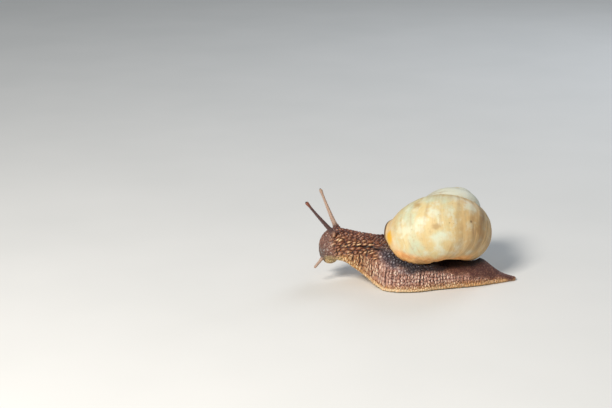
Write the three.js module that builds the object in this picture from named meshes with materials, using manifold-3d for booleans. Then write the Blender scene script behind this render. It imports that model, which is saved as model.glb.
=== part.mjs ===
// A Roman snail, the large garden snail, as a life-size still model: it crawls with its neck stretched
// out and its foot flat on the ground. Millimetres, +Z up. The head points to -X, the tail to +X, and
// the origin lies on the flat sole under the middle of the shell.
import * as THREE from "three";
import { mergeVertices } from "three/addons/utils/BufferGeometryUtils.js";
import Module from "manifold-3d";

const wasm = await Module();
wasm.setup();

// ---- Driving dimensions: shell ----
const LIP_REACH = 21.1; // from the coiling axis out to the front of the lip
const GROWTH = 1.79; // each whorl is this many times as large as the one before
const WHORLS = 4;
const TUBE_HALF_WIDTH = 0.522 * LIP_REACH; // half the tube's size across the coiling axis, at the lip
const TUBE_HALF_HEIGHT = 1.15 * TUBE_HALF_WIDTH; // and along it
const WHORL_FULLNESS = 0.094; // share by which the earlier whorls are fuller than the last
const SPIRE_DROP = 1.208 * LIP_REACH; // from the apex down the axis to the middle of the last tube section
const DROP_POWER = 1.175; // power of a section's size that its drop follows
const SPIRE_SHIFT = new THREE.Vector3(4.0, 0, 0.35); // how far the apex stands off the last whorl's axis
const SECTION_LEAN = 0.113; // radians that the oval section leans away from the axis
const LIP_NARROWING = 0.1; // share by which the tube draws in towards its lip
const LIP_SINK = 0.016 * LIP_REACH; // how far the last stretch drops towards the base
const LIP_SLANT = 0.34; // radians by which the lip runs ahead on the spire's side
const LIP_FLARE = 1.2; // how far the lip turns out at its front
const LIP_WALL = 0.9;
const PILLAR_R = 0.085 * LIP_REACH; // the pillar round the axis
const PILLAR_FOOT = 0.2 * TUBE_HALF_HEIGHT; // how far it stands out below the middle of the last section
// The last whorl swells twice over the navel: by how much, at which turn and over how many radians of
// it, at which angle of the section, and how narrow round it (a power of the cosine).
const NAVEL_SWELLINGS = [
  { height: 3.1, middle: -1.4, spread: 0.95, facing: -2.2, narrow: 1.9 },
  { height: 2.4, middle: -2.6, spread: 0.8, facing: -2.3, narrow: 1.5 },
];
const PIECES_PER_WHORL = 6;
const FACES_ALONG = 30; // faces along each whorl
const FACES_ROUND = 24; // and round its section
const MOUTH_DEPTH = 0.42; // radians of the last whorl that the soft collar fills
const MOUTH_WALL = { first: 0.67, whorls: 0.67 }; // the earlier whorl that bounds the mouth towards the axis
const APEX = new THREE.Vector3(7.5, 20, 27.4);
const AXIS_YAW = 0.283; // radians that the spire points back from the snail's right side
const AXIS_RISE = 0.612; // radians that it points up
const LIP_TURN = 0.215; // radians that the lip stands above the axis, seen from the left

// ---- Driving dimensions: body ----
// Cross sections of head, neck, foot and tail. sole: height of the underside, back: height of the
// ridge, edge: half width at the sole, wall: height of the upright flank, shoulder: half width on top
// of it, peak: 1 for a round back and 2 for a straight slope, side: shift of the middle along Y.
const STATIONS = [
  { x: -41.4, sole: 10.9, back: 13.4, edge: 0.9, wall: 1.0, shoulder: 1.2, peak: 1.0, side: 0.0 },
  { x: -40.7, sole: 9.4, back: 15.5, edge: 2.1, wall: 2.0, shoulder: 3.0, peak: 1.0, side: 0.0 },
  { x: -39.0, sole: 8.7, back: 17.9, edge: 3.3, wall: 2.7, shoulder: 4.3, peak: 1.0, side: 0.0 },
  { x: -36.0, sole: 8.8, back: 19.3, edge: 4.2, wall: 3.0, shoulder: 5.0, peak: 1.0, side: 0.0 },
  { x: -32.0, sole: 8.2, back: 18.9, edge: 5.0, wall: 3.2, shoulder: 5.3, peak: 1.0, side: 0.0 },
  { x: -27.0, sole: 5.0, back: 17.8, edge: 6.3, wall: 3.6, shoulder: 6.2, peak: 1.0, side: -0.2 },
  { x: -21.0, sole: 0.9, back: 17.1, edge: 9.4, wall: 4.2, shoulder: 7.9, peak: 1.1, side: -0.6 },
  { x: -17.0, sole: 0.0, back: 17.0, edge: 11.8, wall: 5.6, shoulder: 9.3, peak: 1.1, side: -0.9 },
  { x: -9.0, sole: 0.0, back: 16.5, edge: 12.6, wall: 7.0, shoulder: 10.3, peak: 1.2, side: -1.0 },
  { x: 0.0, sole: 0.0, back: 9.0, edge: 10.4, wall: 6.5, shoulder: 9.2, peak: 1.3, side: -0.6 },
  { x: 8.0, sole: 0.0, back: 8.2, edge: 8.6, wall: 4.4, shoulder: 7.9, peak: 1.4, side: -0.2 },
  { x: 16.0, sole: 0.0, back: 8.2, edge: 6.7, wall: 2.6, shoulder: 6.0, peak: 1.5, side: 0.0 },
  { x: 22.0, sole: 0.0, back: 3.9, edge: 3.9, wall: 1.5, shoulder: 3.4, peak: 1.5, side: 0.0 },
  { x: 28.8, sole: 0.0, back: 1.1, edge: 0.8, wall: 0.6, shoulder: 0.6, peak: 1.2, side: 0.0 },
];
const GROUND_FROM = -19.5; // the sole lies flat on the ground from here back
const RING_STEP = 0.75; // spacing of the cross sections
const SOLE_STEPS = 3;
const WALL_STEPS = 4;
const BACK_STEPS = 12; // points on the sole, flank and back of each half section
const EDGE_ROUNDING = 0.5;
const WART_HEIGHT = 0.42; // the knobs on neck and back
const FURROW_DEPTH = 0.38; // the upright furrows in the foot's flank
const HEAD_END = -33.6;
const NECK_END = -19.8;
const FOOT_END = 9.5; // where the body is parted into head, neck, foot and tail
const GAP = 0.3; // between neighbouring pieces
const SHELL_GAP = 0.45; // and between flesh and shell, whose faces differ in size

// ---- Driving dimensions: feelers ----
const EYE_STALKS = {
  left: { root: [-35.9, -2.7, 18.2], tip: [-45.5, -8.0, 31.0] },
  right: { root: [-35.0, 2.6, 18.5], tip: [-40.6, 7.0, 31.2] },
};
const STALK_ROOT_R = 0.95;
const STALK_TIP_R = 0.42;
const BULB_R = 0.62;
const EYE_R = 0.34;
const EYE_SINK = 0.2; // how far the eye's middle lies inside the bulb
const EYE_GAP = 0.2;
const MOUTH_FEELERS = {
  left: { root: [-39.9, -2.7, 10.2], tip: [-42.6, -4.6, 6.6] },
  right: { root: [-39.9, 2.7, 10.2], tip: [-41.4, 4.4, 6.4] },
};
const FEELER_ROOT_R = 0.75;
const FEELER_TIP_R = 0.42;
const FEELER_BULB_R = 0.5;
const FEELER_SAG = 0.035; // how far a feeler bows down, as a share of its length

const skin = { roughness: 0.5, metalness: 0 };
const MATERIALS = {
  shell: new THREE.MeshStandardMaterial({ color: 0xe0cf9f, roughness: 0.42, metalness: 0 }),
  collar: new THREE.MeshStandardMaterial({ color: 0x4a3a38, ...skin }),
  neck: new THREE.MeshStandardMaterial({ color: 0x7b5a41, ...skin }),
  foot: new THREE.MeshStandardMaterial({ color: 0x8a6a50, ...skin }),
  tail: new THREE.MeshStandardMaterial({ color: 0x5b4036, ...skin }),
  feeler: new THREE.MeshStandardMaterial({ color: 0x7d5148, ...skin }),
  eye: new THREE.MeshStandardMaterial({ color: 0x1b1210, roughness: 0.15, metalness: 0 }),
};

// ---- Solids ----

/** A closed body through rings of points, each ring with the same count, its ends closed to their middles. */
function loft(rings) {
  const count = rings[0].length;
  const middle = (ring) => ring.reduce((sum, p) => sum.add(p), new THREE.Vector3()).divideScalar(count);
  const points = [...rings.flat(), middle(rings[0]), middle(rings.at(-1))];
  const first = rings.length * count;
  const index = [];
  for (let j = 0; j < count; j++) {
    const k = (j + 1) % count;
    for (let i = 0; i < rings.length - 1; i++) {
      const [a, b] = [i * count + j, i * count + k];
      index.push(a, b, b + count, a, b + count, a + count);
    }
    index.push(first, k, j);
    index.push(first + 1, first - count + j, first - count + k);
  }
  const geometry = new THREE.BufferGeometry().setFromPoints(points);
  geometry.setIndex(index);
  return geometry;
}

/** A manifold solid from a closed geometry, with its faces turned outwards. */
function solid(geometry) {
  const bare = geometry.clone();
  bare.deleteAttribute("normal");
  bare.deleteAttribute("uv");
  const merged = mergeVertices(bare, 1e-4);
  const vertProperties = new Float32Array(merged.attributes.position.array);
  const triVerts = new Uint32Array(merged.index.array);
  const made = new wasm.Manifold(new wasm.Mesh({ numProp: 3, vertProperties, triVerts }));
  if (made.volume() > 0) return made;
  for (let i = 0; i < triVerts.length; i += 3) {
    [triVerts[i], triVerts[i + 1]] = [triVerts[i + 1], triVerts[i]];
  }
  return new wasm.Manifold(new wasm.Mesh({ numProp: 3, vertProperties, triVerts }));
}

/** The named mesh of a solid's largest closed surface. */
function node(name, made, material) {
  const largest = made.decompose().reduce((a, b) => (a.volume() > b.volume() ? a : b));
  const { numProp, numVert, vertProperties, triVerts } = largest.getMesh();
  const points = [];
  for (let i = 0; i < numVert; i++) {
    points.push(new THREE.Vector3().fromArray(vertProperties, i * numProp));
  }
  const geometry = new THREE.BufferGeometry().setFromPoints(points);
  geometry.setIndex([...triVerts]);
  geometry.computeVertexNormals();
  const mesh = new THREE.Mesh(geometry, material);
  mesh.name = name;
  return mesh;
}

/** A slab across the body, from x = from to x = to. */
function slab(from, to) {
  const box = new THREE.BoxGeometry(to - from, 90, 90);
  box.translate((from + to) / 2, 0, 0);
  return solid(box);
}

/** A round solid, stretched along X, Y and Z. */
function ball(middle, radius, stretch = [1, 1, 1]) {
  const sphere = new THREE.SphereGeometry(radius, 12, 8);
  sphere.scale(...stretch);
  sphere.translate(...middle);
  return solid(sphere);
}

// ---- Shell ----
// The shell is a tube with an oval section that grows as it turns round the axis, from the apex down
// to the lip. turn is 0 at the lip and -2 pi one whorl earlier.
const axis = new THREE.Vector3(
  Math.cos(AXIS_RISE) * Math.sin(AXIS_YAW),
  Math.cos(AXIS_RISE) * Math.cos(AXIS_YAW),
  Math.sin(AXIS_RISE),
);
const forward = new THREE.Vector3(-1, 0, 0).projectOnPlane(axis).normalize();
const upward = new THREE.Vector3().crossVectors(axis, forward);

/** The point on the bent coiling axis beside the middle of a section of this size. */
function axisPoint(size) {
  return APEX.clone()
    .addScaledVector(SPIRE_SHIFT, 1 - size)
    .addScaledVector(axis, -SPIRE_DROP * size ** DROP_POWER);
}

/** How far the last whorl swells over the navel, at one turn and angle of the tube. */
function navelSwelling(turn, angle) {
  return NAVEL_SWELLINGS.reduce((sum, { height, middle, spread, facing, narrow }) => {
    const here = Math.exp(-(((turn - middle) / spread) ** 2));
    return sum + height * here * Math.max(0, Math.cos(angle - facing)) ** narrow;
  }, 0);
}

/** One section of the tube, grown outwards by swell millimetres. */
function whorlSection(turn, swell) {
  const size = GROWTH ** (turn / (2 * Math.PI));
  const end = Math.max(0, 1 + turn / (0.75 * Math.PI)) ** 2;
  const fullness = 1 + WHORL_FULLNESS * THREE.MathUtils.smoothstep(-turn, Math.PI, 2 * Math.PI);
  const stretch = size * fullness * (1 - LIP_NARROWING * end);
  const lipEnd = Math.max(0, 1 + turn / 0.14) ** 2;
  const centre = (LIP_REACH - TUBE_HALF_WIDTH) * size;
  return Array.from({ length: FACES_ROUND }, (_, i) => {
    const angle = (i / FACES_ROUND) * 2 * Math.PI; // 0 is outwards, a quarter turn is towards the spire
    const [c, s] = [Math.cos(angle), Math.sin(angle)];
    const flare = LIP_FLARE * lipEnd * Math.max(0, (c + s) / Math.SQRT2);
    const growth = swell + flare + navelSwelling(turn, angle);
    const across = TUBE_HALF_WIDTH * stretch + growth;
    const along = TUBE_HALF_HEIGHT * stretch + growth;
    const out = across * c * Math.cos(SECTION_LEAN) - along * s * Math.sin(SECTION_LEAN);
    const up = across * c * Math.sin(SECTION_LEAN) + along * s * Math.cos(SECTION_LEAN);
    const around = LIP_TURN - turn - LIP_SLANT * Math.max(0, up / along) ** 1.5 * end;
    const radius = Math.max(centre + out, 0.5 * PILLAR_R * size); // the pillar covers what is nearer the axis
    return axisPoint(size)
      .addScaledVector(forward, radius * Math.cos(around))
      .addScaledVector(upward, radius * Math.sin(around))
      .addScaledVector(axis, up - LIP_SINK * end);
  });
}

/** A length of the tube between two turns. */
function whorlPiece(from, to, steps, swell) {
  const turns = Array.from({ length: steps + 1 }, (_, i) => from + ((to - from) * i) / steps);
  return solid(loft(turns.map((turn) => whorlSection(turn, swell))));
}

/** The coiled tube back from the lip over a span of whorls, joined from lengths that share their ends. */
function coiledTube({ first = 0, whorls, swell = 0, past = 0 }) {
  const length = (2 * Math.PI) / PIECES_PER_WHORL;
  const start = Math.round(first * PIECES_PER_WHORL);
  let whole = null;
  for (let i = start; i < start + whorls * PIECES_PER_WHORL; i++) {
    const [from, to] = [-(i + 1) * length, i === 0 ? past : -i * length];
    const piece = whorlPiece(from, to, FACES_ALONG / PIECES_PER_WHORL, swell);
    whole = whole ? whole.add(piece) : piece;
  }
  return whole;
}

/** The pillar round the axis, in the narrow navel of the shell. */
function pillar(swell) {
  const foot = axisPoint(1).addScaledVector(axis, -PILLAR_FOOT - swell);
  const stem = [0.2, 0.6, 1].map((size) => ({ middle: axisPoint(size), r: PILLAR_R * size }));
  const rings = [...stem, { middle: foot, r: 0.7 * PILLAR_R }].map(({ middle, r }) =>
    Array.from({ length: 16 }, (_, i) =>
      middle
        .clone()
        .addScaledVector(forward, (r + swell) * Math.cos((i / 8) * Math.PI))
        .addScaledVector(upward, (r + swell) * Math.sin((i / 8) * Math.PI)),
    ),
  );
  return solid(loft(rings));
}

const MOUTH_STEPS = 6;
const mouthWall = (swell) => coiledTube({ ...MOUTH_WALL, swell });
const mouthHollow = whorlPiece(-MOUTH_DEPTH, 0.2, MOUTH_STEPS, -LIP_WALL).subtract(mouthWall(0));
const shell = coiledTube({ whorls: WHORLS }).add(pillar(0)).subtract(mouthHollow);
const shellClearance = coiledTube({ whorls: 2, swell: SHELL_GAP, past: 0.03 }).add(pillar(GAP));

// ---- Collar: the edge of the mantle, which fills the shell's mouth ----
const COLLAR_STAND = 0.05; // radians that the collar shows beyond the lip
const HOLE_R = 1.1; // the breathing hole, on the right side
const HOLE_DEPTH = 2.6; // from the lip's outer face in to the middle of the hole
const collarTube = (swell, from, to) => whorlPiece(from, to, MOUTH_STEPS, swell - LIP_WALL - GAP);
const breathingHole = whorlSection(COLLAR_STAND, -LIP_WALL - HOLE_DEPTH)[Math.round(0.2 * FACES_ROUND)];
const collar = collarTube(0, -MOUTH_DEPTH + 0.03, COLLAR_STAND)
  .subtract(mouthWall(GAP))
  .subtract(pillar(GAP))
  .subtract(ball(breathingHole, HOLE_R));
const collarClearance = collarTube(GAP, -MOUTH_DEPTH, COLLAR_STAND + 0.03);

// ---- Body: head, neck, foot and tail as one skin, parted afterwards ----
const FIELDS = ["sole", "back", "edge", "wall", "shoulder", "peak", "side"];
const trunkCurve = new THREE.CubicInterpolant(
  STATIONS.map((station) => station.x),
  STATIONS.flatMap((station) => FIELDS.map((field) => station[field])),
  FIELDS.length,
);

/** The body's named sizes at x. */
function trunkAt(x) {
  const values = trunkCurve.evaluate(x);
  const sizes = Object.fromEntries(FIELDS.map((field, i) => [field, values[i]]));
  sizes.sole = x > GROUND_FROM ? 0 : Math.max(0, sizes.sole);
  return sizes;
}

/** Half of a cross section, from the middle of the sole round to the ridge, as [y, z, part] points. */
function halfSection({ sole, back, edge, wall, shoulder, peak }) {
  const half = [];
  for (let i = 0; i < SOLE_STEPS; i++) {
    half.push([((edge - EDGE_ROUNDING) * i) / (SOLE_STEPS - 1), sole, "sole"]);
  }
  for (let i = 0; i < WALL_STEPS; i++) {
    const t = i / WALL_STEPS;
    const y = shoulder + (edge - shoulder) * (1 - t) ** 2;
    half.push([y, sole + EDGE_ROUNDING + (wall - EDGE_ROUNDING) * t, "wall"]);
  }
  for (let i = 0; i <= BACK_STEPS; i++) {
    const angle = (i / BACK_STEPS) * (Math.PI / 2);
    const y = shoulder * Math.cos(angle) ** peak;
    half.push([y, sole + wall + (back - sole - wall) * Math.sin(angle) ** peak, "back"]);
  }
  return half;
}

/** How far the skin stands out at one point of the net: knobs on the back, furrows in the flank. */
function relief(part, ring, row, x) {
  const fade = Math.min(1, Math.max(0, (x - STATIONS[1].x) / 4), Math.max(0, (27 - x) / 5));
  if (part === "wall") return ring % 3 === 0 ? -FURROW_DEPTH * fade : 0;
  if (part === "back") return (ring + 2 * (row % 2)) % 4 === 0 ? WART_HEIGHT * fade : 0;
  return 0;
}

function trunkRing(x, ring) {
  const sizes = trunkAt(x);
  const half = halfSection(sizes);
  const whole = [...half, ...half.slice(1, -1).reverse().map(([y, z, part]) => [-y, z, part])];
  return whole.map(([y, z, part], j) => {
    const before = whole[(j + whole.length - 1) % whole.length];
    const after = whole[(j + 1) % whole.length];
    const out = new THREE.Vector2(after[1] - before[1], before[0] - after[0]).normalize();
    const height = relief(part, ring, Math.min(j, whole.length - j), x);
    return new THREE.Vector3(x, y + sizes.side + out.x * height, Math.max(z + out.y * height, sizes.sole));
  });
}

const [noseX, tailX] = [STATIONS[0].x, STATIONS.at(-1).x];
const ringCount = Math.round((tailX - noseX) / RING_STEP);
const trunkRings = Array.from({ length: ringCount + 1 }, (_, i) =>
  trunkRing(noseX + ((tailX - noseX) * i) / ringCount, i),
);

// The stalk of the body that runs down out of the shell's mouth into the foot.
const STALK_REACHES = [-1.5, 0, 2.5, 5, 7.5]; // along its way, from inside the collar
const stalkTop = whorlSection(COLLAR_STAND, -LIP_WALL - 1.6);
const across = (i) => stalkTop[i].clone().sub(stalkTop[i + FACES_ROUND / 2]);
const mouthOut = new THREE.Vector3().crossVectors(across(FACES_ROUND / 4), across(0)).normalize();
const stalkMiddle = stalkTop.reduce((sum, p) => sum.add(p), new THREE.Vector3()).divideScalar(FACES_ROUND);
const stalkRings = STALK_REACHES.map((reach, i) =>
  stalkTop.map((p) =>
    p.clone().lerp(stalkMiddle, 0.05 * Math.max(0, i - 1)).addScaledVector(mouthOut, reach),
  ),
);
const flesh = solid(loft(trunkRings))
  .add(solid(loft(stalkRings)))
  .subtract(shellClearance)
  .subtract(collarClearance);

// ---- Feelers ----

/** A round tapered body along a gently bowed line from root to tip, ending in a bulb. */
function feeler({ root, tip, rootR, tipR, bulbR }, swell = 0) {
  const [from, to] = [new THREE.Vector3(...root), new THREE.Vector3(...tip)];
  const sag = new THREE.Vector3(0, 0, -FEELER_SAG * from.distanceTo(to));
  const curve = new THREE.QuadraticBezierCurve3(from, from.clone().lerp(to, 0.5).add(sag), to);
  const side = new THREE.Vector3(0, 1, 0).cross(to.clone().sub(from)).normalize();
  const rise = to.clone().sub(from).cross(side).normalize();
  const rings = [0, 0.15, 0.3, 0.5, 0.75, 1].map((t) => {
    const radius = tipR + (rootR - tipR) * (1 - t) ** 1.6 + swell;
    return Array.from({ length: 12 }, (_, i) =>
      curve
        .getPoint(t)
        .addScaledVector(side, radius * Math.cos((i / 6) * Math.PI))
        .addScaledVector(rise, radius * Math.sin((i / 6) * Math.PI)),
    );
  });
  return solid(loft(rings)).add(ball(tip, bulbR + swell));
}

/** The middle of the eye, at the far end of its bulb. */
function eyeMiddle({ root, tip }) {
  const end = new THREE.Vector3(...tip);
  const along = end.clone().sub(new THREE.Vector3(...root)).normalize();
  return end.addScaledVector(along, BULB_R - EYE_SINK);
}

const stalkSizes = { rootR: STALK_ROOT_R, tipR: STALK_TIP_R, bulbR: BULB_R };
const feelerSizes = { rootR: FEELER_ROOT_R, tipR: FEELER_TIP_R, bulbR: FEELER_BULB_R };
const eyeStalks = Object.entries(EYE_STALKS).map(([name, ends]) => ({ name, ...ends, ...stalkSizes }));
const mouthFeelers = Object.entries(MOUTH_FEELERS).map(([name, ends]) => ({ name, ...ends, ...feelerSizes }));

// ---- Head: the flesh in front of the neck, with lips, the line of the mouth and feeler sockets ----
const LIP_LOBE = { middle: [-37.9, 1.8, 9.0], stretch: [2.1, 1.7, 1.7] };
const MOUTH_LINE = { middle: [-40.3, 0, 8.9], stretch: [1.3, 0.3, 1.4] };
let head = flesh.intersect(slab(-60, HEAD_END - GAP / 2));
for (const sideways of [-1, 1]) {
  const [x, y, z] = LIP_LOBE.middle;
  head = head.add(ball([x, sideways * y, z], 1, LIP_LOBE.stretch));
}
head = head.subtract(ball(MOUTH_LINE.middle, 1, MOUTH_LINE.stretch));
for (const one of [...eyeStalks, ...mouthFeelers]) {
  head = head.subtract(feeler(one, GAP));
}

// ---- The snail ----
const snail = new THREE.Group();
for (const stalk of eyeStalks) {
  const eye = eyeMiddle(stalk);
  snail.add(
    node(`eye_${stalk.name}`, ball(eye, EYE_R), MATERIALS.eye),
    node(`eye_stalk_${stalk.name}`, feeler(stalk).subtract(ball(eye, EYE_R + EYE_GAP)), MATERIALS.feeler),
  );
}
for (const one of mouthFeelers) {
  snail.add(node(`mouth_feeler_${one.name}`, feeler(one), MATERIALS.feeler));
}
snail.add(
  node("shell", shell, MATERIALS.shell),
  node("mantle_collar", collar, MATERIALS.collar),
  node("head", head, MATERIALS.neck),
  node("neck", flesh.intersect(slab(HEAD_END + GAP / 2, NECK_END - GAP / 2)), MATERIALS.neck),
  node("foot", flesh.intersect(slab(NECK_END + GAP / 2, FOOT_END - GAP / 2)), MATERIALS.foot),
  node("tail", flesh.intersect(slab(FOOT_END + GAP / 2, 60)), MATERIALS.tail),
);

export default snail;
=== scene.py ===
# %% [markdown]
# # A crawling Roman snail
# A Roman snail is two things in one: a hard, dry lime shell, and a soft, wet body that flows out of it.
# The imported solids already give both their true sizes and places, so this lesson starts by loading them
# as a frame and then dresses them. The flesh is one animal, so its solids (head, neck, foot, tail and
# feelers) are replaced by a single skin without seams. Shell, mantle edge and eyes stay pieces of their
# own.

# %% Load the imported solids
import math

import bmesh
import bpy
import numpy as np
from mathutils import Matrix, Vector
from mathutils.bvhtree import BVHTree


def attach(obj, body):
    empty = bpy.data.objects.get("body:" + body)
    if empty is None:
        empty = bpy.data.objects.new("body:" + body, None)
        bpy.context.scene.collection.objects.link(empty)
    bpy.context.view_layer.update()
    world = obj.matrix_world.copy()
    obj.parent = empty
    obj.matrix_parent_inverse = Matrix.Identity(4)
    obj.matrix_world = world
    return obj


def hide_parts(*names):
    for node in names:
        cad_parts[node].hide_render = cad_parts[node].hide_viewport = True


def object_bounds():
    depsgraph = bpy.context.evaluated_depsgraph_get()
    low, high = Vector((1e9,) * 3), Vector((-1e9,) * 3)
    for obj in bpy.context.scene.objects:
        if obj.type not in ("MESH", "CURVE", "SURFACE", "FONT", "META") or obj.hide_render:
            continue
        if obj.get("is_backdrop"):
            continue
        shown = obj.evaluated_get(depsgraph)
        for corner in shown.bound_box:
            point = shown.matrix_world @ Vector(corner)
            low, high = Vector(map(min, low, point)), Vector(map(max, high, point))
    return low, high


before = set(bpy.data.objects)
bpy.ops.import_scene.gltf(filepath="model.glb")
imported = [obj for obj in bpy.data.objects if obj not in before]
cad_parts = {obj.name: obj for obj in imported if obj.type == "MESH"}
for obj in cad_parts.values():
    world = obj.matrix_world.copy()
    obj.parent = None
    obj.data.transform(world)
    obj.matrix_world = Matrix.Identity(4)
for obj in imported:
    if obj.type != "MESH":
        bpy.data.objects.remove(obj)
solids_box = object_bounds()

MM = 0.001
FULL_TURN = 2 * math.pi
print("solids:", ", ".join(sorted(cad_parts)))

# %% [markdown]
# ## Camera
# A camera close above the ground sees a small animal as an equal. Seen from too near, the head would
# swell and the shell shrink, so a long lens stands half a metre away and looks down by 17 degrees, square
# to the body.

# %% Stand the camera on the snail's left side
LENS_MM = 85
SENSOR_MM = 36
AIM = Vector((-45.85, 0, 28.3)) * MM
DISTANCE = 506 * MM
LOOK_DOWN = math.radians(17)
NEAREST_SEEN = 0.01

camera_data = bpy.data.cameras.new("camera")
camera_data.lens = LENS_MM
camera_data.sensor_width = SENSOR_MM
camera_data.clip_start = NEAREST_SEEN
camera = bpy.data.objects.new("camera", camera_data)
back_towards_camera = Vector((0, -math.cos(LOOK_DOWN), math.sin(LOOK_DOWN)))
camera.location = AIM + DISTANCE * back_towards_camera
camera.rotation_euler = (-back_towards_camera).to_track_quat("-Z", "Y").to_euler()
bpy.context.scene.collection.objects.link(camera)
bpy.context.scene.camera = camera
print("camera stands at", [round(x / MM) for x in camera.location], "mm")


# %% [markdown]
# ## Finishes
# Every material here is a small net of nodes: marks on the mesh say where a point lies, noise varies it,
# and a few named colours are mixed by both. Two helpers keep those nets readable. `colour` turns a
# painter's colour code into the linear light that Blender mixes, and `Finish` adds nodes one after
# another.

# %% A helper that builds a material node by node
def colour(code):
    """A colour code such as #C8A070 as linear red, green, blue and alpha."""
    parts = [int(code[i : i + 2], 16) / 255 for i in (1, 3, 5)]
    return [c / 12.92 if c <= 0.04045 else ((c + 0.055) / 1.055) ** 2.4 for c in parts] + [1.0]


class Finish:
    """A material under construction. Each call adds a node and gives its output."""

    def __init__(self, name, sockets):
        self.material = bpy.data.materials.new(name)
        self.material.use_nodes = True
        self.tree = self.material.node_tree
        self.shader = self.tree.nodes["Principled BSDF"]
        for socket, value in sockets.items():
            self.feed(self.shader.inputs[socket], value)

    def feed(self, socket, value):
        """Links an output to the socket, or sets the socket to a plain value or a colour code."""
        if isinstance(value, bpy.types.NodeSocket):
            self.tree.links.new(value, socket)
        else:
            socket.default_value = colour(value) if isinstance(value, str) else value

    def add(self, kind, inputs, output=0, **settings):
        """A node of that kind, its inputs given by name or number."""
        node = self.tree.nodes.new("ShaderNode" + kind)
        for setting, value in settings.items():
            setattr(node, setting, value)
        for socket, value in inputs.items():
            self.feed(node.inputs[socket], value)
        return node.outputs[output]

    def mark(self, name, output="Fac"):
        """A value stored on the mesh's points."""
        return self.add("Attribute", {}, output, attribute_name=name)

    def noise(self, size, detail=3.0, roughness=0.55):
        """Soft noise from 0 to 1 whose blotches are about size millimetres across."""
        place = self.add("TexCoord", {}, "Object")
        inputs = {"Vector": place, "Scale": 1 / (size * MM), "Detail": detail, "Roughness": roughness}
        return self.add("TexNoise", inputs)

    def band(self, value, low, high, to=(0.0, 1.0)):
        """A smooth step between two limits."""
        inputs = {"Value": value, "From Min": low, "From Max": high, "To Min": to[0], "To Max": to[1]}
        return self.add("MapRange", inputs, interpolation_type="SMOOTHSTEP")

    def sum(self, kind, a, b):
        """Arithmetic on two values, such as ADD or MULTIPLY."""
        return self.add("Math", {0: a, 1: b}, operation=kind)

    def mix(self, under, over, share):
        """A colour laid over another by a share from 0 to 1."""
        return self.add("Mix", {0: share, 6: under, 7: over}, 2, data_type="RGBA")

    def lay(self, under, layers):
        """Colours laid over another in turn, each with where it lies and how strong it is there."""
        for over, where, strength in layers:
            under = self.mix(under, over, where if strength == 1 else self.sum("MULTIPLY", where, strength))
        return under

    def bump(self, height, depth, before=None):
        """Fine relief up to depth millimetres, on top of any relief before it."""
        inputs = {"Height": height, "Distance": depth * MM, "Strength": 1.0}
        if before is not None:
            inputs["Normal"] = before
        return self.add("Bump", inputs)

    def done(self, **surface):
        """Feeds the shader's linked sockets and gives the material."""
        for socket, value in surface.items():
            self.feed(self.shader.inputs[socket.replace("_", " ")], value)
        return self.material


print("white is", colour("#FFFFFF"))

# %% [markdown]
# ## Floor and light
# The snail stands on a plain pale floor. Its light is that of a bright overcast garden: a broad soft
# light from above and ahead of the animal, a weaker one from behind, and a pale sky that fills every
# shadow. Broad lights give the wet skin long soft glints instead of hard dots.

# %% Lay the floor and hang the lights
FLOOR_RADIUS = 4.0
LIT_MIDDLE = Vector((-8, 0, 12)) * MM
SKY_STRENGTH = 0.27

floor_mesh = bpy.data.meshes.new("floor")
builder = bmesh.new()
bmesh.ops.create_circle(builder, cap_ends=True, segments=64, radius=FLOOR_RADIUS)
builder.to_mesh(floor_mesh)
builder.free()
floor = bpy.data.objects.new("floor", floor_mesh)
bpy.context.scene.collection.objects.link(floor)
floor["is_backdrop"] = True
paper = Finish("pale floor", {"Roughness": 0.75})
paper_colour = paper.mix("#E2E3E2", "#ECECEB", paper.noise(60, detail=2))
floor_mesh.materials.append(paper.done(Base_Color=paper_colour))


def soft_light(name, place, size, power, tint):
    """Hangs a square soft light at a place in millimetres and turns it to the middle of the snail."""
    data = bpy.data.lights.new(name, "AREA")
    data.size = size * MM
    data.energy = power
    data.color = colour(tint)[:3]
    light = bpy.data.objects.new(name, data)
    light.location = Vector(place) * MM
    light.rotation_euler = (LIT_MIDDLE - light.location).to_track_quat("-Z", "Y").to_euler()
    bpy.context.scene.collection.objects.link(light)


soft_light("window ahead", (-300, -400, 430), 170, 4.1, "#FFF8EE")
soft_light("window behind", (300, 420, 420), 300, 1.0, "#EAF3FF")
sky = bpy.data.worlds.new("sky")
sky.use_nodes = True
sky.node_tree.nodes["Background"].inputs["Color"].default_value = colour("#EDF3F7")
sky.node_tree.nodes["Background"].inputs["Strength"].default_value = SKY_STRENGTH
bpy.context.scene.world = sky
bpy.context.scene.view_settings.view_transform = "Standard"
print("floor and", len(bpy.data.lights), "soft lights")

# %% [markdown]
# ## Chance that repeats
# Skin and shell are never even. Their unevenness comes from noise, and the noise comes from a hash: a sum
# that always scrambles the same numbers into the same value, so the snail looks the same every time it is
# made. `skin_cells` is the most useful one. It scatters one middle in every cell of a net and tells each
# point how far it lies from the border between two cells, which is just how the knobs of a snail's skin
# meet.

# %% Noise and cells made from repeatable chance
HASH_PRIMES = np.array([2654435761, 2246822519, 3266489917], np.uint32)
SEED_PRIME, SEED_START = 668265263, 374761393


def chance(cells, seed):
    """A number from 0 to 1 for each cell, given by its whole coordinates."""
    scrambled = np.full(cells[0].shape, (seed * SEED_PRIME + SEED_START) % 2**32, np.uint32)
    for prime, cell in zip(HASH_PRIMES, cells):
        scrambled ^= cell.astype(np.int64).astype(np.uint32) * prime
        scrambled = (scrambled ^ (scrambled >> np.uint32(15))) * HASH_PRIMES[1]
        scrambled ^= scrambled >> np.uint32(13)
    return scrambled / 2.0**32


def noise(points, seed=0):
    """Smooth noise from -1 to 1 whose blotches are one unit across."""
    low = np.floor(points)
    share = points - low
    share = share * share * (3 - 2 * share)
    total = 0.0
    for corner in np.ndindex(2, 2, 2):
        weight = np.prod(np.where(corner, share, 1 - share), axis=-1)
        total = total + weight * chance(np.moveaxis(low + corner, -1, 0), seed)
    return 2 * total - 1


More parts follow.
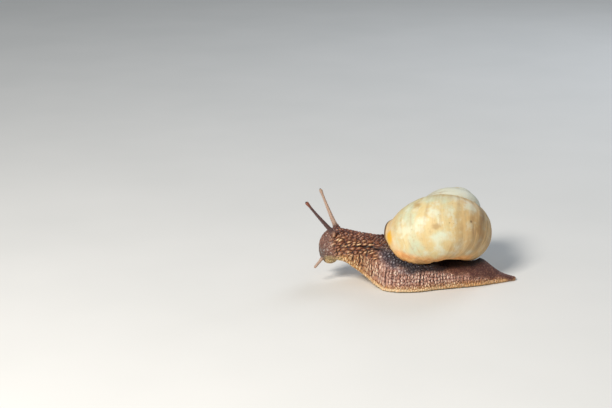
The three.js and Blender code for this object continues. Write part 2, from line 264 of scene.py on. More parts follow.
def skin_cells(along, around, spacing, seed, jitter=0.5, knob=(1.0, 1.0), slant=0.0):
    """Scatters one knob in every cell of a net with this spacing in millimetres. For each point this gives
    how far it lies inside its cell, its way from the knob's middle in half knobs, and the knob's number."""
    u, v = along / spacing[0], around / spacing[1]
    low_u, low_v = np.floor(u), np.floor(v)
    nearest = np.full(u.shape, 9.0)
    second = np.full(u.shape, 9.0)
    own = np.zeros(u.shape)
    for step_v in (-1, 0, 1):
        row = low_v + step_v
        shift = 0.5 * (row % 2)
        for step_u in (-2, -1, 0, 1):
            cell = (low_u + step_u, row)
            to_u = (u - cell[0] - 0.5 - shift - jitter * (chance(cell, seed) - 0.5)) * spacing[0]
            to_v = (v - row - 0.5 - jitter * (chance(cell, seed + 1) - 0.5)) * spacing[1]
            long_way = (to_u * math.cos(slant) - to_v * math.sin(slant)) / knob[0]
            short_way = (to_u * math.sin(slant) + to_v * math.cos(slant)) / knob[1]
            distance = np.hypot(long_way, short_way)
            closer = distance < nearest
            second = np.where(closer, nearest, np.minimum(second, distance))
            own = np.where(closer, chance(cell, seed + 2), own)
            nearest = np.minimum(nearest, distance)
    return second - nearest, nearest, own


def ramp(value, start, end):
    """A smooth step from 0 at start to 1 at end, whichever of the two is larger."""
    share = np.clip((value - start) / (end - start), 0, 1)
    return share * share * (3 - 2 * share)


def ridge(value, middle, half_width, power=2):
    """A smooth rise to 1 at the middle and back to 0, flatter on top for a higher power."""
    return np.exp(-(((value - middle) / half_width) ** power))


def unit(vector):
    """A vector of length one in the same direction."""
    return vector / np.linalg.norm(vector)


print("chance check:", round(float(chance((np.array(3), np.array(4)), 7)), 6))


# %% [markdown]
# ## From points to pieces
# A tube, a feeler and a whole body have one thing in common: they are rings of points laid one behind
# another. `loft` closes such rings into a mesh. `fuse` wraps several overlapping meshes in one new skin,
# by filling them with small cubes and drawing a surface round all of them, and `cut_away` takes one solid
# out of another. All three work in millimetres and hand over metres.

# %% Helpers that loft, fuse and cut
BALL_RINGS = 24


def add_piece(name, mesh):
    """An object with that mesh, put in the scene."""
    piece = bpy.data.objects.new(name, mesh)
    bpy.context.scene.collection.objects.link(piece)
    return piece


def loft(name, rings):
    """A closed piece through rings of points, its two ends closed to their middles."""
    steps, count, _ = rings.shape
    points = np.concatenate([rings.reshape(-1, 3), rings[[0, -1]].mean(axis=1)])
    here = np.arange(count)
    after = (here + 1) % count
    row = np.arange(steps - 1)[:, None] * count
    sides = np.stack([row + here, row + after, row + count + after, row + count + here], axis=-1)
    top = (steps - 1) * count
    first_middle, last_middle = np.full(count, steps * count), np.full(count, steps * count + 1)
    fans = np.stack([first_middle, after, here, last_middle, top + here, top + after], axis=-1)
    mesh = bpy.data.meshes.new(name)
    mesh.from_pydata(points * MM, [], sides.reshape(-1, 4).tolist() + fans.reshape(-1, 3).tolist())
    a, b, c = rings[:-1], np.roll(rings, -1, axis=1)[:-1], rings[1:]
    inside_out = np.sum(a * np.cross(b, c)) < 0
    if inside_out:
        mesh.flip_normals()
    return add_piece(name, mesh)


def ball(name, middle, radii):
    """A round piece with a radius along each axis."""
    up = np.linspace(-0.5 * math.pi, 0.5 * math.pi, BALL_RINGS)[1:-1, None]
    way = np.arange(2 * BALL_RINGS) * math.pi / BALL_RINGS
    level = np.cos(up)
    sphere = np.stack(np.broadcast_arrays(level * np.cos(way), level * np.sin(way), np.sin(up)), axis=-1)
    return loft(name, sphere * radii + middle)


def worked_in(piece):
    """The piece with its modifiers turned into plain mesh."""
    graph = bpy.context.evaluated_depsgraph_get()
    mesh = bpy.data.meshes.new_from_object(piece.evaluated_get(graph))
    piece.modifiers.clear()
    piece.data = mesh
    return piece


def fuse(name, pieces, cube, smoothing=2):
    """One closed skin round overlapping pieces, made of faces about as wide as one small cube."""
    heap = bmesh.new()
    for piece in pieces:
        heap.from_mesh(piece.data)
        bpy.data.objects.remove(piece)
    mesh = bpy.data.meshes.new(name)
    heap.to_mesh(mesh)
    heap.free()
    fused = add_piece(name, mesh)
    remesh = fused.modifiers.new("one skin", "REMESH")
    remesh.mode = "VOXEL"
    remesh.voxel_size = cube * MM
    smooth = fused.modifiers.new("smooth", "SMOOTH")
    smooth.factor = 0.5
    smooth.iterations = smoothing
    return worked_in(fused)


def cut_away(piece, tool):
    """Takes the tool's room out of the piece, then throws the tool away."""
    cut = piece.modifiers.new("cut", "BOOLEAN")
    cut.operation = "DIFFERENCE"
    cut.solver = "MANIFOLD"
    cut.object = tool
    worked_in(piece)
    bpy.data.objects.remove(tool)


def points_of(piece):
    """The piece's points in millimetres."""
    flat = np.empty(len(piece.data.vertices) * 3, np.float32)
    piece.data.vertices.foreach_get("co", flat)
    return flat.reshape(-1, 3).astype(float) / MM


def directions_of(piece):
    """The direction that the surface faces at each point."""
    flat = np.empty(len(piece.data.vertices) * 3, np.float32)
    piece.data.vertex_normals.foreach_get("vector", flat)
    return flat.reshape(-1, 3).astype(float)


def move_points(piece, points):
    """Puts the piece's points at new places in millimetres."""
    piece.data.vertices.foreach_set("co", (points * MM).astype(np.float32).ravel())
    piece.data.update()


def mark_points(piece, **marks):
    """Stores a value for each point, where the piece's finish reads it."""
    for name, values in marks.items():
        kind, field = ("FLOAT_VECTOR", "vector") if values.ndim == 2 else ("FLOAT", "value")
        layer = piece.data.attributes.new(name, kind, "POINT")
        layer.data.foreach_set(field, values.astype(np.float32).ravel())


def finish_piece(piece, material, slot_name, *nodes):
    """Gives a piece its material and smooth shading, ties it to the frame and stands it for its solids."""
    piece.data.materials.clear()
    piece.data.materials.append(material)
    piece.data.shade_smooth()
    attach(piece, "root")
    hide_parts(*nodes)
    print(piece.name, "has", len(piece.data.polygons), "faces and stands for", ", ".join(nodes))


# %% [markdown]
# ## The shell's growth
# A snail builds its shell at the lip. It adds to the edge of one tube, and the tube widens by the same
# share in every turn, so the whole shell follows a single rule: a section of one size, turned round the
# axis, slid down along it, and made 1.79 times as large per whorl. Any point on the shell is named by two
# numbers, its turn (0 at the lip, less towards the apex) and its angle round the tube (0 outwards, a
# quarter turn towards the spire). Everything else, growth lines and colour bands too, is drawn in those
# two numbers. The rule only bends near the lip, which flares and sinks a little, and over the navel,
# where the base swells.

# %% The tube that the shell grows along
# Sizes are in millimetres at the lip, and angles in radians. The whole shell is sized by how far the lip
# reaches from the axis.
LIP_REACH = 21.1
GROWTH = 1.79
TUBE_HALF_WIDTH = 0.522 * LIP_REACH
TUBE_HALF_HEIGHT = 1.15 * TUBE_HALF_WIDTH
WHORL_FULLNESS = 0.094
SPIRE_DROP = 1.208 * LIP_REACH
DROP_POWER = 1.175
SPIRE_SHIFT = np.array([4.0, 0, 0.35])
SECTION_LEAN = 0.113
LIP_ZONE = 0.75 * math.pi  # the turn over which narrowing, slant and sinking of the lip set in
LIP_NARROWING = 0.1
LIP_SINK = 0.016 * LIP_REACH
LIP_SLANT = 0.34
FLARE_ZONE = 0.14
LIP_FLARE = 1.2
LIP_WALL = 0.9
SHELL_WALL = 0.8
PILLAR_R = 0.085 * LIP_REACH
PILLAR_FOOT = 0.2 * TUBE_HALF_HEIGHT
PILLAR_SIDES = 48
# Height, turn, spread along the turn, angle round the tube and narrowness of each swelling of the base.
# The last one, just below the lip, is too slight for the solids to have it.
BASE_SWELLINGS = [(3.1, -1.4, 0.95, -2.2, 1.9), (2.4, -2.6, 0.8, -2.3, 1.5), (0.7, -0.42, 0.30, -1.95, 3.0)]
APEX = np.array([7.5, 20, 27.4])
AXIS_YAW = 0.283
AXIS_RISE = 0.612
LIP_TURN = 0.215

level_way = math.cos(AXIS_RISE)
AXIS = np.array([level_way * math.sin(AXIS_YAW), level_way * math.cos(AXIS_YAW), math.sin(AXIS_RISE)])
AHEAD = unit(np.array([-1.0, 0, 0]) - AXIS * -AXIS[0])
ABOVE = np.cross(AXIS, AHEAD)


def axis_point(size):
    """The point on the bent coiling axis beside the middle of a section of this size."""
    size = np.asarray(size, float)[..., None]
    return APEX + SPIRE_SHIFT * (1 - size) - AXIS * SPIRE_DROP * size**DROP_POWER


def base_swelling(turn, angle):
    """How far the last whorl's base swells."""
    swelling = 0.0
    for height, middle, spread, towards, narrow in BASE_SWELLINGS:
        towards_it = np.maximum(0, np.cos(angle - towards)) ** narrow
        swelling = swelling + height * ridge(turn, middle, spread) * towards_it
    return swelling


def on_tube(turn, angle, swell=0.0):
    """Points of the tube at these turns and angles, grown outwards by swell millimetres."""
    turn, angle, swell = np.broadcast_arrays(turn, angle, swell)
    size = GROWTH ** (turn / FULL_TURN)
    end = np.maximum(0, 1 + turn / LIP_ZONE) ** 2
    earlier = np.clip(-turn / math.pi - 1, 0, 1)
    fullness = 1 + WHORL_FULLNESS * earlier**2 * (3 - 2 * earlier)
    stretch = size * fullness * (1 - LIP_NARROWING * end)
    flare = LIP_FLARE * np.maximum(0, 1 + turn / FLARE_ZONE) ** 2
    c, s = np.cos(angle), np.sin(angle)
    growth = swell + flare * np.maximum(0, c + s) / math.sqrt(2) + base_swelling(turn, angle)
    across = TUBE_HALF_WIDTH * stretch + growth
    along = TUBE_HALF_HEIGHT * stretch + growth
    out = across * c * math.cos(SECTION_LEAN) - along * s * math.sin(SECTION_LEAN)
    up = across * c * math.sin(SECTION_LEAN) + along * s * math.cos(SECTION_LEAN)
    around = LIP_TURN - turn - LIP_SLANT * np.maximum(0, up / along) ** 1.5 * end
    centre = (LIP_REACH - TUBE_HALF_WIDTH) * size
    radius = np.maximum(centre + out, 0.5 * PILLAR_R * size)
    outwards = AHEAD * np.cos(around)[..., None] + ABOVE * np.sin(around)[..., None]
    return axis_point(size) + outwards * radius[..., None] + AXIS * (up - LIP_SINK * end)[..., None]


def round_the_tube(count):
    """Angles once round the tube."""
    return np.arange(count) * FULL_TURN / count


def pillar_rings(swell):
    """Rings of the pillar round the axis, in the narrow navel."""
    middles = [(PILLAR_R * size, axis_point(size)) for size in (0.2, 0.6, 1.0)]
    middles.append((0.7 * PILLAR_R, axis_point(1.0) - AXIS * (PILLAR_FOOT + swell)))
    way = round_the_tube(PILLAR_SIDES)[:, None]
    outwards = AHEAD * np.cos(way) + ABOVE * np.sin(way)
    return np.stack([middle + outwards * (radius + swell) for radius, middle in middles])


print("lip reaches", LIP_REACH, "mm from the axis")

# %% [markdown]
# ## Growth lines
# Each pause in growth leaves a line across the tube. Behind the lip those lines don't stay square to the
# tube: below the whorl's middle they lean back, towards the apex. `growth_turn` follows that lean, and
# `streaks` draws noise out along it, quickly changing from line to line and slowly round the tube.

# %% Follow the growth lines
# How far the lines lean back under the whorl, in radians of its turn
LEANING_TURNS = [-3.6, -2.8, -2.4, -2.1, -1.6, -1.3, -0.9]
LEANS = [0, 0.20, 0.36, 0.38, 0.27, 0.17, 0]


def growth_turn(turn, angle):
    """The turn at which the growth line through each point crosses the middle of the whorl."""
    return turn + np.interp(turn, LEANING_TURNS, LEANS) * np.minimum(np.sin(angle), 0) ** 2


def streaks(turn, angle, lines, waver, seed):
    """Noise drawn out along the growth lines, with so many lines to a radian."""
    across_lines = growth_turn(turn, angle) * lines
    along_line = waver * np.cos(angle), waver * np.sin(angle)
    return noise(np.stack(np.broadcast_arrays(across_lines, *along_line), axis=-1), seed)


def from_zero(angle):
    """The same angle between minus and plus half a turn."""
    return (angle + math.pi) % FULL_TURN - math.pi


print("growth lines lean by up to", round(math.degrees(max(LEANS))), "degrees of the turn")

# %% [markdown]
# ## Traces of a life
# A grown snail's shell has chips knocked out of it, brown stains, patches bleached by the sun, and darker
# bands where the lip rested long enough to be coloured. They are few and each has its place, so they are
# listed one by one in the shell's two numbers, and noise frays their edges. One brown patch among the
# stains is painted shade, on the base where it curves under by the navel.

# %% Chips, stains and a painted shade, bleached patches and old lips
# Rough radii of the last whorl and of its tube, which turn an angle into millimetres
WHORL_R = 18
TUBE_R = 11
# Turn, angle and half width in millimetres of each chip
CHIPS = [
    (-1.88, -0.38, 0.34), (-1.46, -0.64, 0.26), (-2.3, 0.30, 0.22), (-3.4, 0.10, 0.30), (-4.6, -0.3, 0.35),
]
# Turn, angle, and half size along and round the tube in radians of each brown patch and each bleached
# patch. The third brown patch is painted shade where the base curves under by the navel, partly darker
# horn too; the others are stains.
STAINS_AND_SHADE = [
    (-1.21, -0.80, 0.11, 0.13), (-0.78, 0.10, 0.14, 0.16), (-0.44, -1.98, 0.17, 0.24),
    (-2.13, -0.2, 0.12, 0.4), (-2.75, -0.4, 0.2, 0.3),
]
BLEACHED = [
    (-0.52, -0.70, 0.17, 0.26), (-1.13, -0.26, 0.10, 0.20), (-0.86, -0.55, 0.12, 0.16),
    (-1.3, -1.15, 0.2, 0.2), (-1.80, 0.15, 0.16, 0.30),
]
# Turn, half width and depth of colour of each old lip that the shell has grown past
OLD_LIPS = [
    (-0.97, 0.025, 0.22), (-1.54, 0.05, 0.32), (-1.86, 0.06, 0.26), (-2.14, 0.12, 0.85), (-3.4, 0.10, 0.6),
]


def chipped(turn, angle):
    """One in the middle of each chip of the outer face, and nothing away from them."""
    marked = 0.0
    for at_turn, at_angle, half_width in CHIPS:
        way = np.hypot((turn - at_turn) * WHORL_R, from_zero(angle - at_angle) * TUBE_R) / half_width
        marked = np.maximum(marked, 1 - ramp(way + 0.9 * streaks(turn, angle, 40, 18, 17), 0.5, 1.3))
    return marked


def patch(turn, angle, places):
    """One in the middle of each soft-edged patch, and nothing away from them."""
    marked = 0.0
    frayed = 0.55 * streaks(turn, angle, 9, 6, 18) + 0.35 * streaks(turn, angle, 24, 14, 19)
    for at_turn, at_angle, half_turn, half_angle in places:
        way = np.hypot((turn - at_turn) / half_turn, from_zero(angle - at_angle) / half_angle)
        marked = np.maximum(marked, 1 - ramp(way + frayed, 0.3, 1.35))
    return marked


def old_lips(turn, angle):
    """How strongly the horn is coloured by an old lip, strongest on the outer face."""
    marked = 0.0
    line = growth_turn(turn, angle) + 0.05 * streaks(turn, angle, 0.8, 1.6, 20)
    for at_turn, half_width, strength in OLD_LIPS:
        marked = np.maximum(marked, strength * ridge(line, at_turn, half_width))
    outer_face = 0.35 + 0.65 * ridge(from_zero(angle), -0.35, 0.7)
    return np.clip(marked * outer_face * (0.8 + 0.4 * streaks(turn, angle, 12, 4, 21)), 0, 1)


print("the shell has", len(CHIPS), "chips and", len(STAINS_AND_SHADE) + len(BLEACHED), "patches")

# %% [markdown]
# ## Shell
# The tube is lofted ring by ring, over a thousand of them, from the apex down the outer face to the lip,
# round the lip's edge and back along the inner face. Earlier whorls are covered by later ones, as on a
# real shell. The outer face gets three depths of wrinkles along the growth lines, and steps where the
# snail rested for a winter.

# %% Build the shell with its growth wrinkles
ANGLES = 200
ROWS_PER_WHORL = [36, 60, 110, 180, 280, 440]
LIP_EDGE = 0.7
LIP_ROLL = 0.022
INNER_DEPTH = 1.3
# Depth, lines to a radian of the turn, waver round the tube and seed of each kind of wrinkle
WRINKLES = [(0.035, 30, 1.6, 11), (0.05, 11, 1.3, 12), (0.13, 2.2, 1.1, 13)]
WRINKLE_ROOM = 0.10
WINTER_STOPS = [-0.52, -1.52, -2.62, -3.9, -5.4, -8.1]
WINTER_STEP = 0.05
CHIP_DEPTH = 0.14


def wrinkles(turn, angle):
    """How far the outer face stands in or out, in millimetres."""
    height = sum(depth * streaks(turn, angle, lines, waver, seed) for depth, lines, waver, seed in WRINKLES)
    line = growth_turn(turn, angle) + 0.02 * streaks(turn, angle, 0.5, 2.0, 14)
    for stop in WINTER_STOPS:
        height = height + WINTER_STEP * np.tanh((line - stop) / 0.03) * ridge(line, stop, 0.12)
    return (height - WRINKLE_ROOM) * GROWTH ** (turn / FULL_TURN) - CHIP_DEPTH * chipped(turn, angle)


angles = round_the_tube(ANGLES)
whorls = len(ROWS_PER_WHORL)
outer_turns = np.concatenate(
    [
        np.linspace(-FULL_TURN * (whorls - i), -FULL_TURN * (whorls - i - 1), rows, endpoint=False)
        for i, rows in enumerate(ROWS_PER_WHORL)
    ]
    + [[0.0]]
)
roll = np.linspace(0, math.pi, 9)[1:-1]
inner_turns = np.linspace(0, -INNER_DEPTH, 50)
turns = np.concatenate([outer_turns, LIP_ROLL * np.sin(roll), inner_turns])[:, None]
lip_wall = LIP_EDGE / 2 * (1 - np.cos(roll))
inner_wall = LIP_EDGE + (SHELL_WALL - LIP_EDGE) * ramp(-inner_turns, 0, 0.1)
depth_in_wall = np.concatenate([0 * outer_turns, lip_wall, inner_wall])[:, None]
outer_share = np.concatenate([1 + 0 * outer_turns, 1 - lip_wall / LIP_EDGE, 0 * inner_turns])[:, None]
swell = wrinkles(turns, angles) * outer_share - depth_in_wall
shell = loft("shell_coil", on_tube(turns, angles, swell))
print("shell tube has", len(turns), "rings")

# %% Mark the shell's points for its finish
# Where the orange base starts, as an angle from the outer face, at some turns
BASE_TURNS = [-3.4, -2.6, -1.9, -1.2, -0.7, -0.35, -0.2, 0]
BASE_ANGLES = [1.15, 1.2, 1.7, 1.8, 1.6, 1.18, 0.94, 0.86]


def each_point(values):
    """Values of the rings' points, with the two end points after them."""
    whole = np.broadcast_to(values, (len(turns), ANGLES)).ravel()
    return np.concatenate([whole, whole[:1], whole[-1:]])


below = np.sin(angles) < 0
from_outer_face = np.arccos(np.cos(angles))
base_starts = np.interp(turns, BASE_TURNS, BASE_ANGLES) + 0.12 * streaks(turns, angles, 3, 1.2, 22)
growth_space = [10 * growth_turn(turns, angles), 3 * np.cos(angles), 3 * np.sin(angles)]
mark_points(
    shell,
    turn=each_point(turns),
    spireward=each_point(np.sin(angles)),
    baseward=each_point(from_outer_face * below),
    depth=each_point(depth_in_wall),
    chip=each_point(chipped(turns, angles)),
    stain=each_point(patch(turns, angles, STAINS_AND_SHADE)),
    bleached=each_point(patch(turns, angles, BLEACHED)),
    old_lip=each_point(old_lips(turns, angles)),
    base=each_point(ramp(from_outer_face - base_starts, 0, 0.30) * below),
    growth=np.stack([each_point(values) for values in growth_space], axis=-1),
)
print("shell has", len(shell.data.vertices), "points")

# %% [markdown]
# ## Lime and horn
# The shell is lime under a thin brownish horn skin. Where that skin is worn, over most of the last whorl,
# the pale lime shows through in greenish and white clouds; near the navel and along old lips it stays
# orange brown, and behind the old lips the whorl is browner altogether. Streaks follow the growth lines,
# so their noise is read from the `growth` mark, and only clouds, blotches and specks come from plain
# space. Noise can also be drawn out the other way, along the turn: that gives the arcs that run round the
# bleached spire.

# %% Patterns of the shell's finish
lime = Finish(
    "worn snail shell",
    {"Specular IOR Level": 0.40, "Coat Weight": 0.06, "Coat Roughness": 0.30, "Subsurface Weight": 0.08,
     "Subsurface Scale": 0.0012, "Subsurface Radius": (1.0, 0.7, 0.4)},
)
turn = lime.mark("turn")
spireward = lime.mark("spireward")
growth = lime.mark("growth", "Vector")


def growth_noise(along, around, detail=3.0):
    """Noise drawn out along the growth lines, or across them where along is less than around."""
    stretched = lime.add("VectorMath", {0: growth, 1: (along, around, around)}, operation="MULTIPLY")
    return lime.add("TexNoise", {"Vector": stretched, "Scale": 1.0, "Detail": detail, "Roughness": 0.6})


def between(value, low, high, soft):
    """One between two limits, with soft edges outside them."""
    return lime.sum("MULTIPLY", lime.band(value, low - soft, low), lime.band(value, high + soft, high))


broad = growth_noise(0.30, 0.28)
middle_lines = growth_noise(1.3, 0.25)
fine_lines = growth_noise(4.5, 0.30, 4.0)
spiral_arcs = growth_noise(0.12, 1.6)
clouds = lime.noise(6.5, roughness=0.5)
blotches = lime.noise(3.6, detail=4, roughness=0.6)
mottle = lime.noise(1.6, detail=4, roughness=0.6)
upper_lines = lime.band(middle_lines, 0.3, 0.7, (0.15, 0.6))
upper = lime.sum("MULTIPLY", lime.band(spireward, 0.10, 0.65), upper_lines)
worn_blotches = lime.band(blotches, 0.25, 0.65, (0.4, 0.85))
older = lime.sum("MULTIPLY", lime.band(turn, -1.30, -2.00), worn_blotches)
base_band = lime.sum("MULTIPLY", lime.mark("base"), lime.band(broad, 0.25, 0.55, (0.7, 0.95)))
spire = lime.band(turn, -0.68 * FULL_TURN, -FULL_TURN)
above_seam = lime.sum("MULTIPLY", spire, lime.band(lime.mark("baseward"), 0.1, 0.9, (0.1, 0.8)))
spot = lime.sum("MULTIPLY", between(turn, -0.16, -0.10, 0.07), between(spireward, -0.60, -0.42, 0.16))
rim = lime.sum("MULTIPLY", lime.band(turn, -0.045, -0.004), lime.band(spireward, -0.75, -0.2, (0.25, 1.0)))
print("the shell's patterns take", len(lime.tree.nodes), "nodes")

# %% Colours of the shell's finish
worn_brown = lime.mix("#E2B87C", "#B68E5E", lime.band(middle_lines, 0.30, 0.70))
base_colour = lime.mix("#F0B672", "#D48C4A", lime.band(mottle, 0.38, 0.66))
base_colour = lime.mix(base_colour, "#F6CE94", lime.band(fine_lines, 0.50, 0.36, (0.0, 0.6)))
spire_coat = lime.mix("#DDE2D2", "#B0A88E", lime.band(spiral_arcs, 0.48, 0.78))
spire_coat = lime.mix(spire_coat, "#D2B88A", lime.band(blotches, 0.56, 0.74, (0.0, 0.7)))
coat = lime.lay(
    "#DFCB96",
    [
        ("#D0D5B6", lime.band(clouds, 0.42, 0.66), 1),
        ("#DDBC80", lime.band(broad, 0.45, 0.75), 0.6),
        ("#E2E6D0", lime.band(blotches, 0.52, 0.32), 0.65),
        ("#BC9C6C", lime.band(blotches, 0.55, 0.76), 0.6),
        ("#C7A26C", lime.band(middle_lines, 0.50, 0.76), 0.45),
        ("#B08C5C", lime.band(fine_lines, 0.50, 0.80), 0.25),
        ("#EBC084", lime.band(turn, -0.42, -0.06), 0.65),
        ("#C2A876", upper, 1),
        (worn_brown, older, 1),
        ("#E4EAD4", lime.mark("bleached"), 0.58),
        ("#74482A", lime.mark("old_lip"), 0.85),
        (base_colour, base_band, 1),
        # Brown stains, and one patch of painted shade under the base by the navel
        ("#A88250", lime.mark("stain"), 0.60),
        (spire_coat, spire, 0.92),
        ("#A08B6C", above_seam, 1),
        ("#8A6C48", lime.band(lime.noise(0.9, detail=2), 0.70, 0.78), 0.35),
        ("#5D4733", lime.mark("chip"), 0.75),
        ("#F2B830", spot, 0.9),
        ("#3E241C", rim, 0.9),
        ("#D9C6A6", lime.band(lime.mark("depth"), 0.35, 0.6), 1),
    ],
)
grain_of_lime = lime.bump(lime.noise(0.35), 0.03, lime.bump(fine_lines, 0.06))
shine = lime.band(blotches, 0.3, 0.7, (0.46, 0.60))
shell_finish = lime.done(Base_Color=coat, Roughness=shine, Normal=grain_of_lime)
finish_piece(shell, shell_finish, "shell", "shell")

# %% [markdown]
# ## Mantle edge
# Inside the lip lies the collar, the thick edge of the mantle, which builds the shell. It fills the mouth
# right up to the wall, so it is the same tube, a little smaller, ended by a rounded roll. Where the mouth
# leans on the earlier whorl and the pillar, their room is cut out of it. Its breathing hole opens on the
# snail's right side. The collar is wet and dark brown, and its finish is darkest between its small knobs,
# and down in that hole it is painted near black as painted shade.

# %% Build the collar
COLLAR_STAND = 0.05
COLLAR_BACK = -0.39
COLLAR_CUBE = 0.22
COLLAR_GAP = 0.12
ROLL_DEPTH = 1.5
ROLL_STEPS = 8
INSIDE_STEPS = 12
EARLIER_CUBE = 0.4
TUBE_SIDES = 96


def tube_solid(name, turns, swell):
    """A closed length of the shell's tube."""
    return loft(name, on_tube(np.asarray(turns)[:, None], round_the_tube(TUBE_SIDES), np.asarray(swell)))


def shell_room(turns, gap, cube):
    """The room that the shell takes up over these turns, its pillar too, with a gap round it."""
    return fuse("shell room", [tube_solid("tube", turns, gap), loft("pillar", pillar_rings(gap))], cube)


quarter_turn = np.linspace(0, math.pi / 2, ROLL_STEPS)
inside_turns = np.linspace(COLLAR_BACK, -0.01, INSIDE_STEPS)
collar_turns = np.concatenate([inside_turns, COLLAR_STAND * np.sin(quarter_turn)])
roll_in = -ROLL_DEPTH * (1 - np.cos(quarter_turn))
collar_swell = np.concatenate([0 * inside_turns, roll_in])[:, None] - SHELL_WALL - COLLAR_GAP
collar = fuse("mantle_edge", [tube_solid("collar tube", collar_turns, collar_swell)], COLLAR_CUBE)
earlier_turns = np.linspace(-1.34 * FULL_TURN, -0.67 * FULL_TURN, 160)
cut_away(collar, shell_room(earlier_turns, COLLAR_GAP, EARLIER_CUBE))
print("collar has", len(collar.data.vertices), "points")

# %% Sink the breathing hole and grain the collar
HOLE_R = 1.1
HOLE_FROM_WALL = 2.6
HOLE_ANGLE = 0.2 * FULL_TURN
FUNNEL_DEPTH = 2.0
RIM_HEIGHT = 0.25
COLLAR_KNOB = 0.55
COLLAR_RELIEF = 0.05

hole = on_tube(COLLAR_STAND, HOLE_ANGLE, -LIP_WALL - HOLE_FROM_WALL)
mouth_out = unit(on_tube(COLLAR_STAND, 0.0) - on_tube(COLLAR_STAND - 0.02, 0.0))
spots = points_of(collar)
facing = directions_of(collar)
from_hole = np.linalg.norm(np.cross(spots - hole, mouth_out), axis=1)
in_front = ramp(facing @ mouth_out, 0.0, 0.5)
funnel = in_front * ramp(from_hole, HOLE_R, 0.35 * HOLE_R)
rim_of_hole = in_front * ridge(from_hole, 1.25 * HOLE_R, 0.45)
spots = spots - mouth_out * (FUNNEL_DEPTH * funnel - RIM_HEIGHT * rim_of_hole)[:, None]
askew = spots[:, 0] + 0.7 * spots[:, 1]
border, _, _ = skin_cells(askew, spots[:, 2], (COLLAR_KNOB, COLLAR_KNOB), 31, jitter=0.7)
collar_knobs = ramp(border, 0, 0.4)
spots = spots + facing * COLLAR_RELIEF * (collar_knobs + noise(spots / 1.4, 32))[:, None]
move_points(collar, spots)
mark_points(collar, knob=collar_knobs, funnel=funnel)
print("breathing hole at", [round(float(v), 1) for v in hole], "mm")

# %% The collar's finish
wet_rim = Finish(
    "wet mantle edge",
    {"Specular IOR Level": 0.5, "Coat Weight": 0.45, "Coat Roughness": 0.12, "Subsurface Weight": 0.15,
     "Subsurface Scale": 0.0008, "Subsurface Radius": (1.0, 0.45, 0.3)},
)
brown = wet_rim.mix("#3A2723", "#6B5046", wet_rim.band(wet_rim.noise(1.2), 0.35, 0.7))
brown = wet_rim.mix("#241614", brown, wet_rim.band(wet_rim.mark("knob"), 0.0, 0.8, (0.35, 1.0)))
# Painted shade: near black down in the breathing hole
brown = wet_rim.mix(brown, "#0D0706", wet_rim.mark("funnel"))
collar_finish = wet_rim.done(
    Base_Color=brown,
    Roughness=wet_rim.band(wet_rim.noise(0.8), 0.3, 0.7, (0.3, 0.5)),
    Normal=wet_rim.bump(wet_rim.noise(0.25, detail=2), 0.04),
)
finish_piece(collar, collar_finish, "mantle", "mantle_collar")

# %% [markdown]
# ## Body
# Head, neck, foot and tail are one long muscle. Its cross section changes smoothly from a small round
# snout through a tall neck to a broad, flat foot and a pointed tail, so a few named sections, joined by a
# smooth curve, describe all of it. The neck also runs up into the shell's mouth. The feelers are tapered
# tubes with a bulb at the tip. All of them overlap at first, and `fuse` then wraps them in a single skin.

# %% Cross sections of the body
# x; height of the sole, height of the back, half width at the sole, height of the upright flank, half width
# on top of it, sharpness of the ridge (1 round, 2 a straight slope), shift to the side
BODY = np.array(
    [
        [-41.4, 10.9, 13.4, 0.9, 1.0, 1.2, 1.0, 0.0],
        [-40.7, 9.4, 15.5, 2.1, 2.0, 3.0, 1.0, 0.0],
        [-39.0, 8.7, 17.9, 3.3, 2.7, 4.3, 1.0, 0.0],
        [-36.0, 8.8, 19.3, 4.2, 3.0, 5.0, 1.0, 0.0],
        [-32.0, 8.2, 18.9, 5.0, 3.2, 5.3, 1.0, 0.0],
        [-27.0, 5.0, 17.8, 6.3, 3.6, 6.2, 1.0, -0.2],
        [-21.0, 0.9, 17.1, 9.4, 4.2, 7.9, 1.1, -0.6],
        [-17.0, 0.0, 17.0, 11.8, 5.6, 9.3, 1.1, -0.9],
        [-9.0, 0.0, 16.5, 12.6, 7.0, 10.3, 1.2, -1.0],
        [0.0, 0.0, 9.0, 10.4, 6.5, 9.2, 1.3, -0.6],
        [8.0, 0.0, 8.2, 8.6, 4.4, 7.9, 1.4, -0.2],
        [16.0, 0.0, 8.2, 6.7, 2.6, 6.0, 1.5, 0.0],
        [22.0, 0.0, 3.9, 3.9, 1.5, 3.4, 1.5, 0.0],
        [28.8, 0.0, 1.1, 0.8, 0.6, 0.6, 1.2, 0.0],
    ]
)
GROUND_FROM = -19.5
EDGE_ROUNDING = 0.5
SOLE_STEPS, WALL_STEPS, BACK_STEPS = 10, 18, 44
TRUNK_STEP = 0.25
NECK_FROM_WALL = 1.6
# How much the neck has narrowed and how far it has come at each ring on its way up the shell's mouth
NECK_RINGS = [(0, -1.5), (0, 0), (0.05, 2.5), (0.10, 5), (0.15, 7.5)]


def body_sizes(x):
    """Sole, back, edge, wall, shoulder, peak and side at each x, on a smooth curve through the sections."""
    stations, values = BODY[:, 0], BODY[:, 1:]
    secants = np.diff(values, axis=0) / np.diff(stations)[:, None]
    slopes = np.concatenate([secants[:1], (secants[:-1] + secants[1:]) / 2, secants[-1:]])
    i = np.clip(np.searchsorted(stations, x) - 1, 0, len(stations) - 2)
    span = (stations[i + 1] - stations[i])[:, None]
    t = np.clip((x - stations[i])[:, None] / span, 0, 1)
    start = (2 * t**3 - 3 * t**2 + 1) * values[i] + (t**3 - 2 * t**2 + t) * span * slopes[i]
    sizes = start + (3 * t**2 - 2 * t**3) * values[i + 1] + (t**3 - t**2) * span * slopes[i + 1]
    sizes[:, 0] = np.where(x > GROUND_FROM, 0, np.maximum(0, sizes[:, 0]))
    return sizes


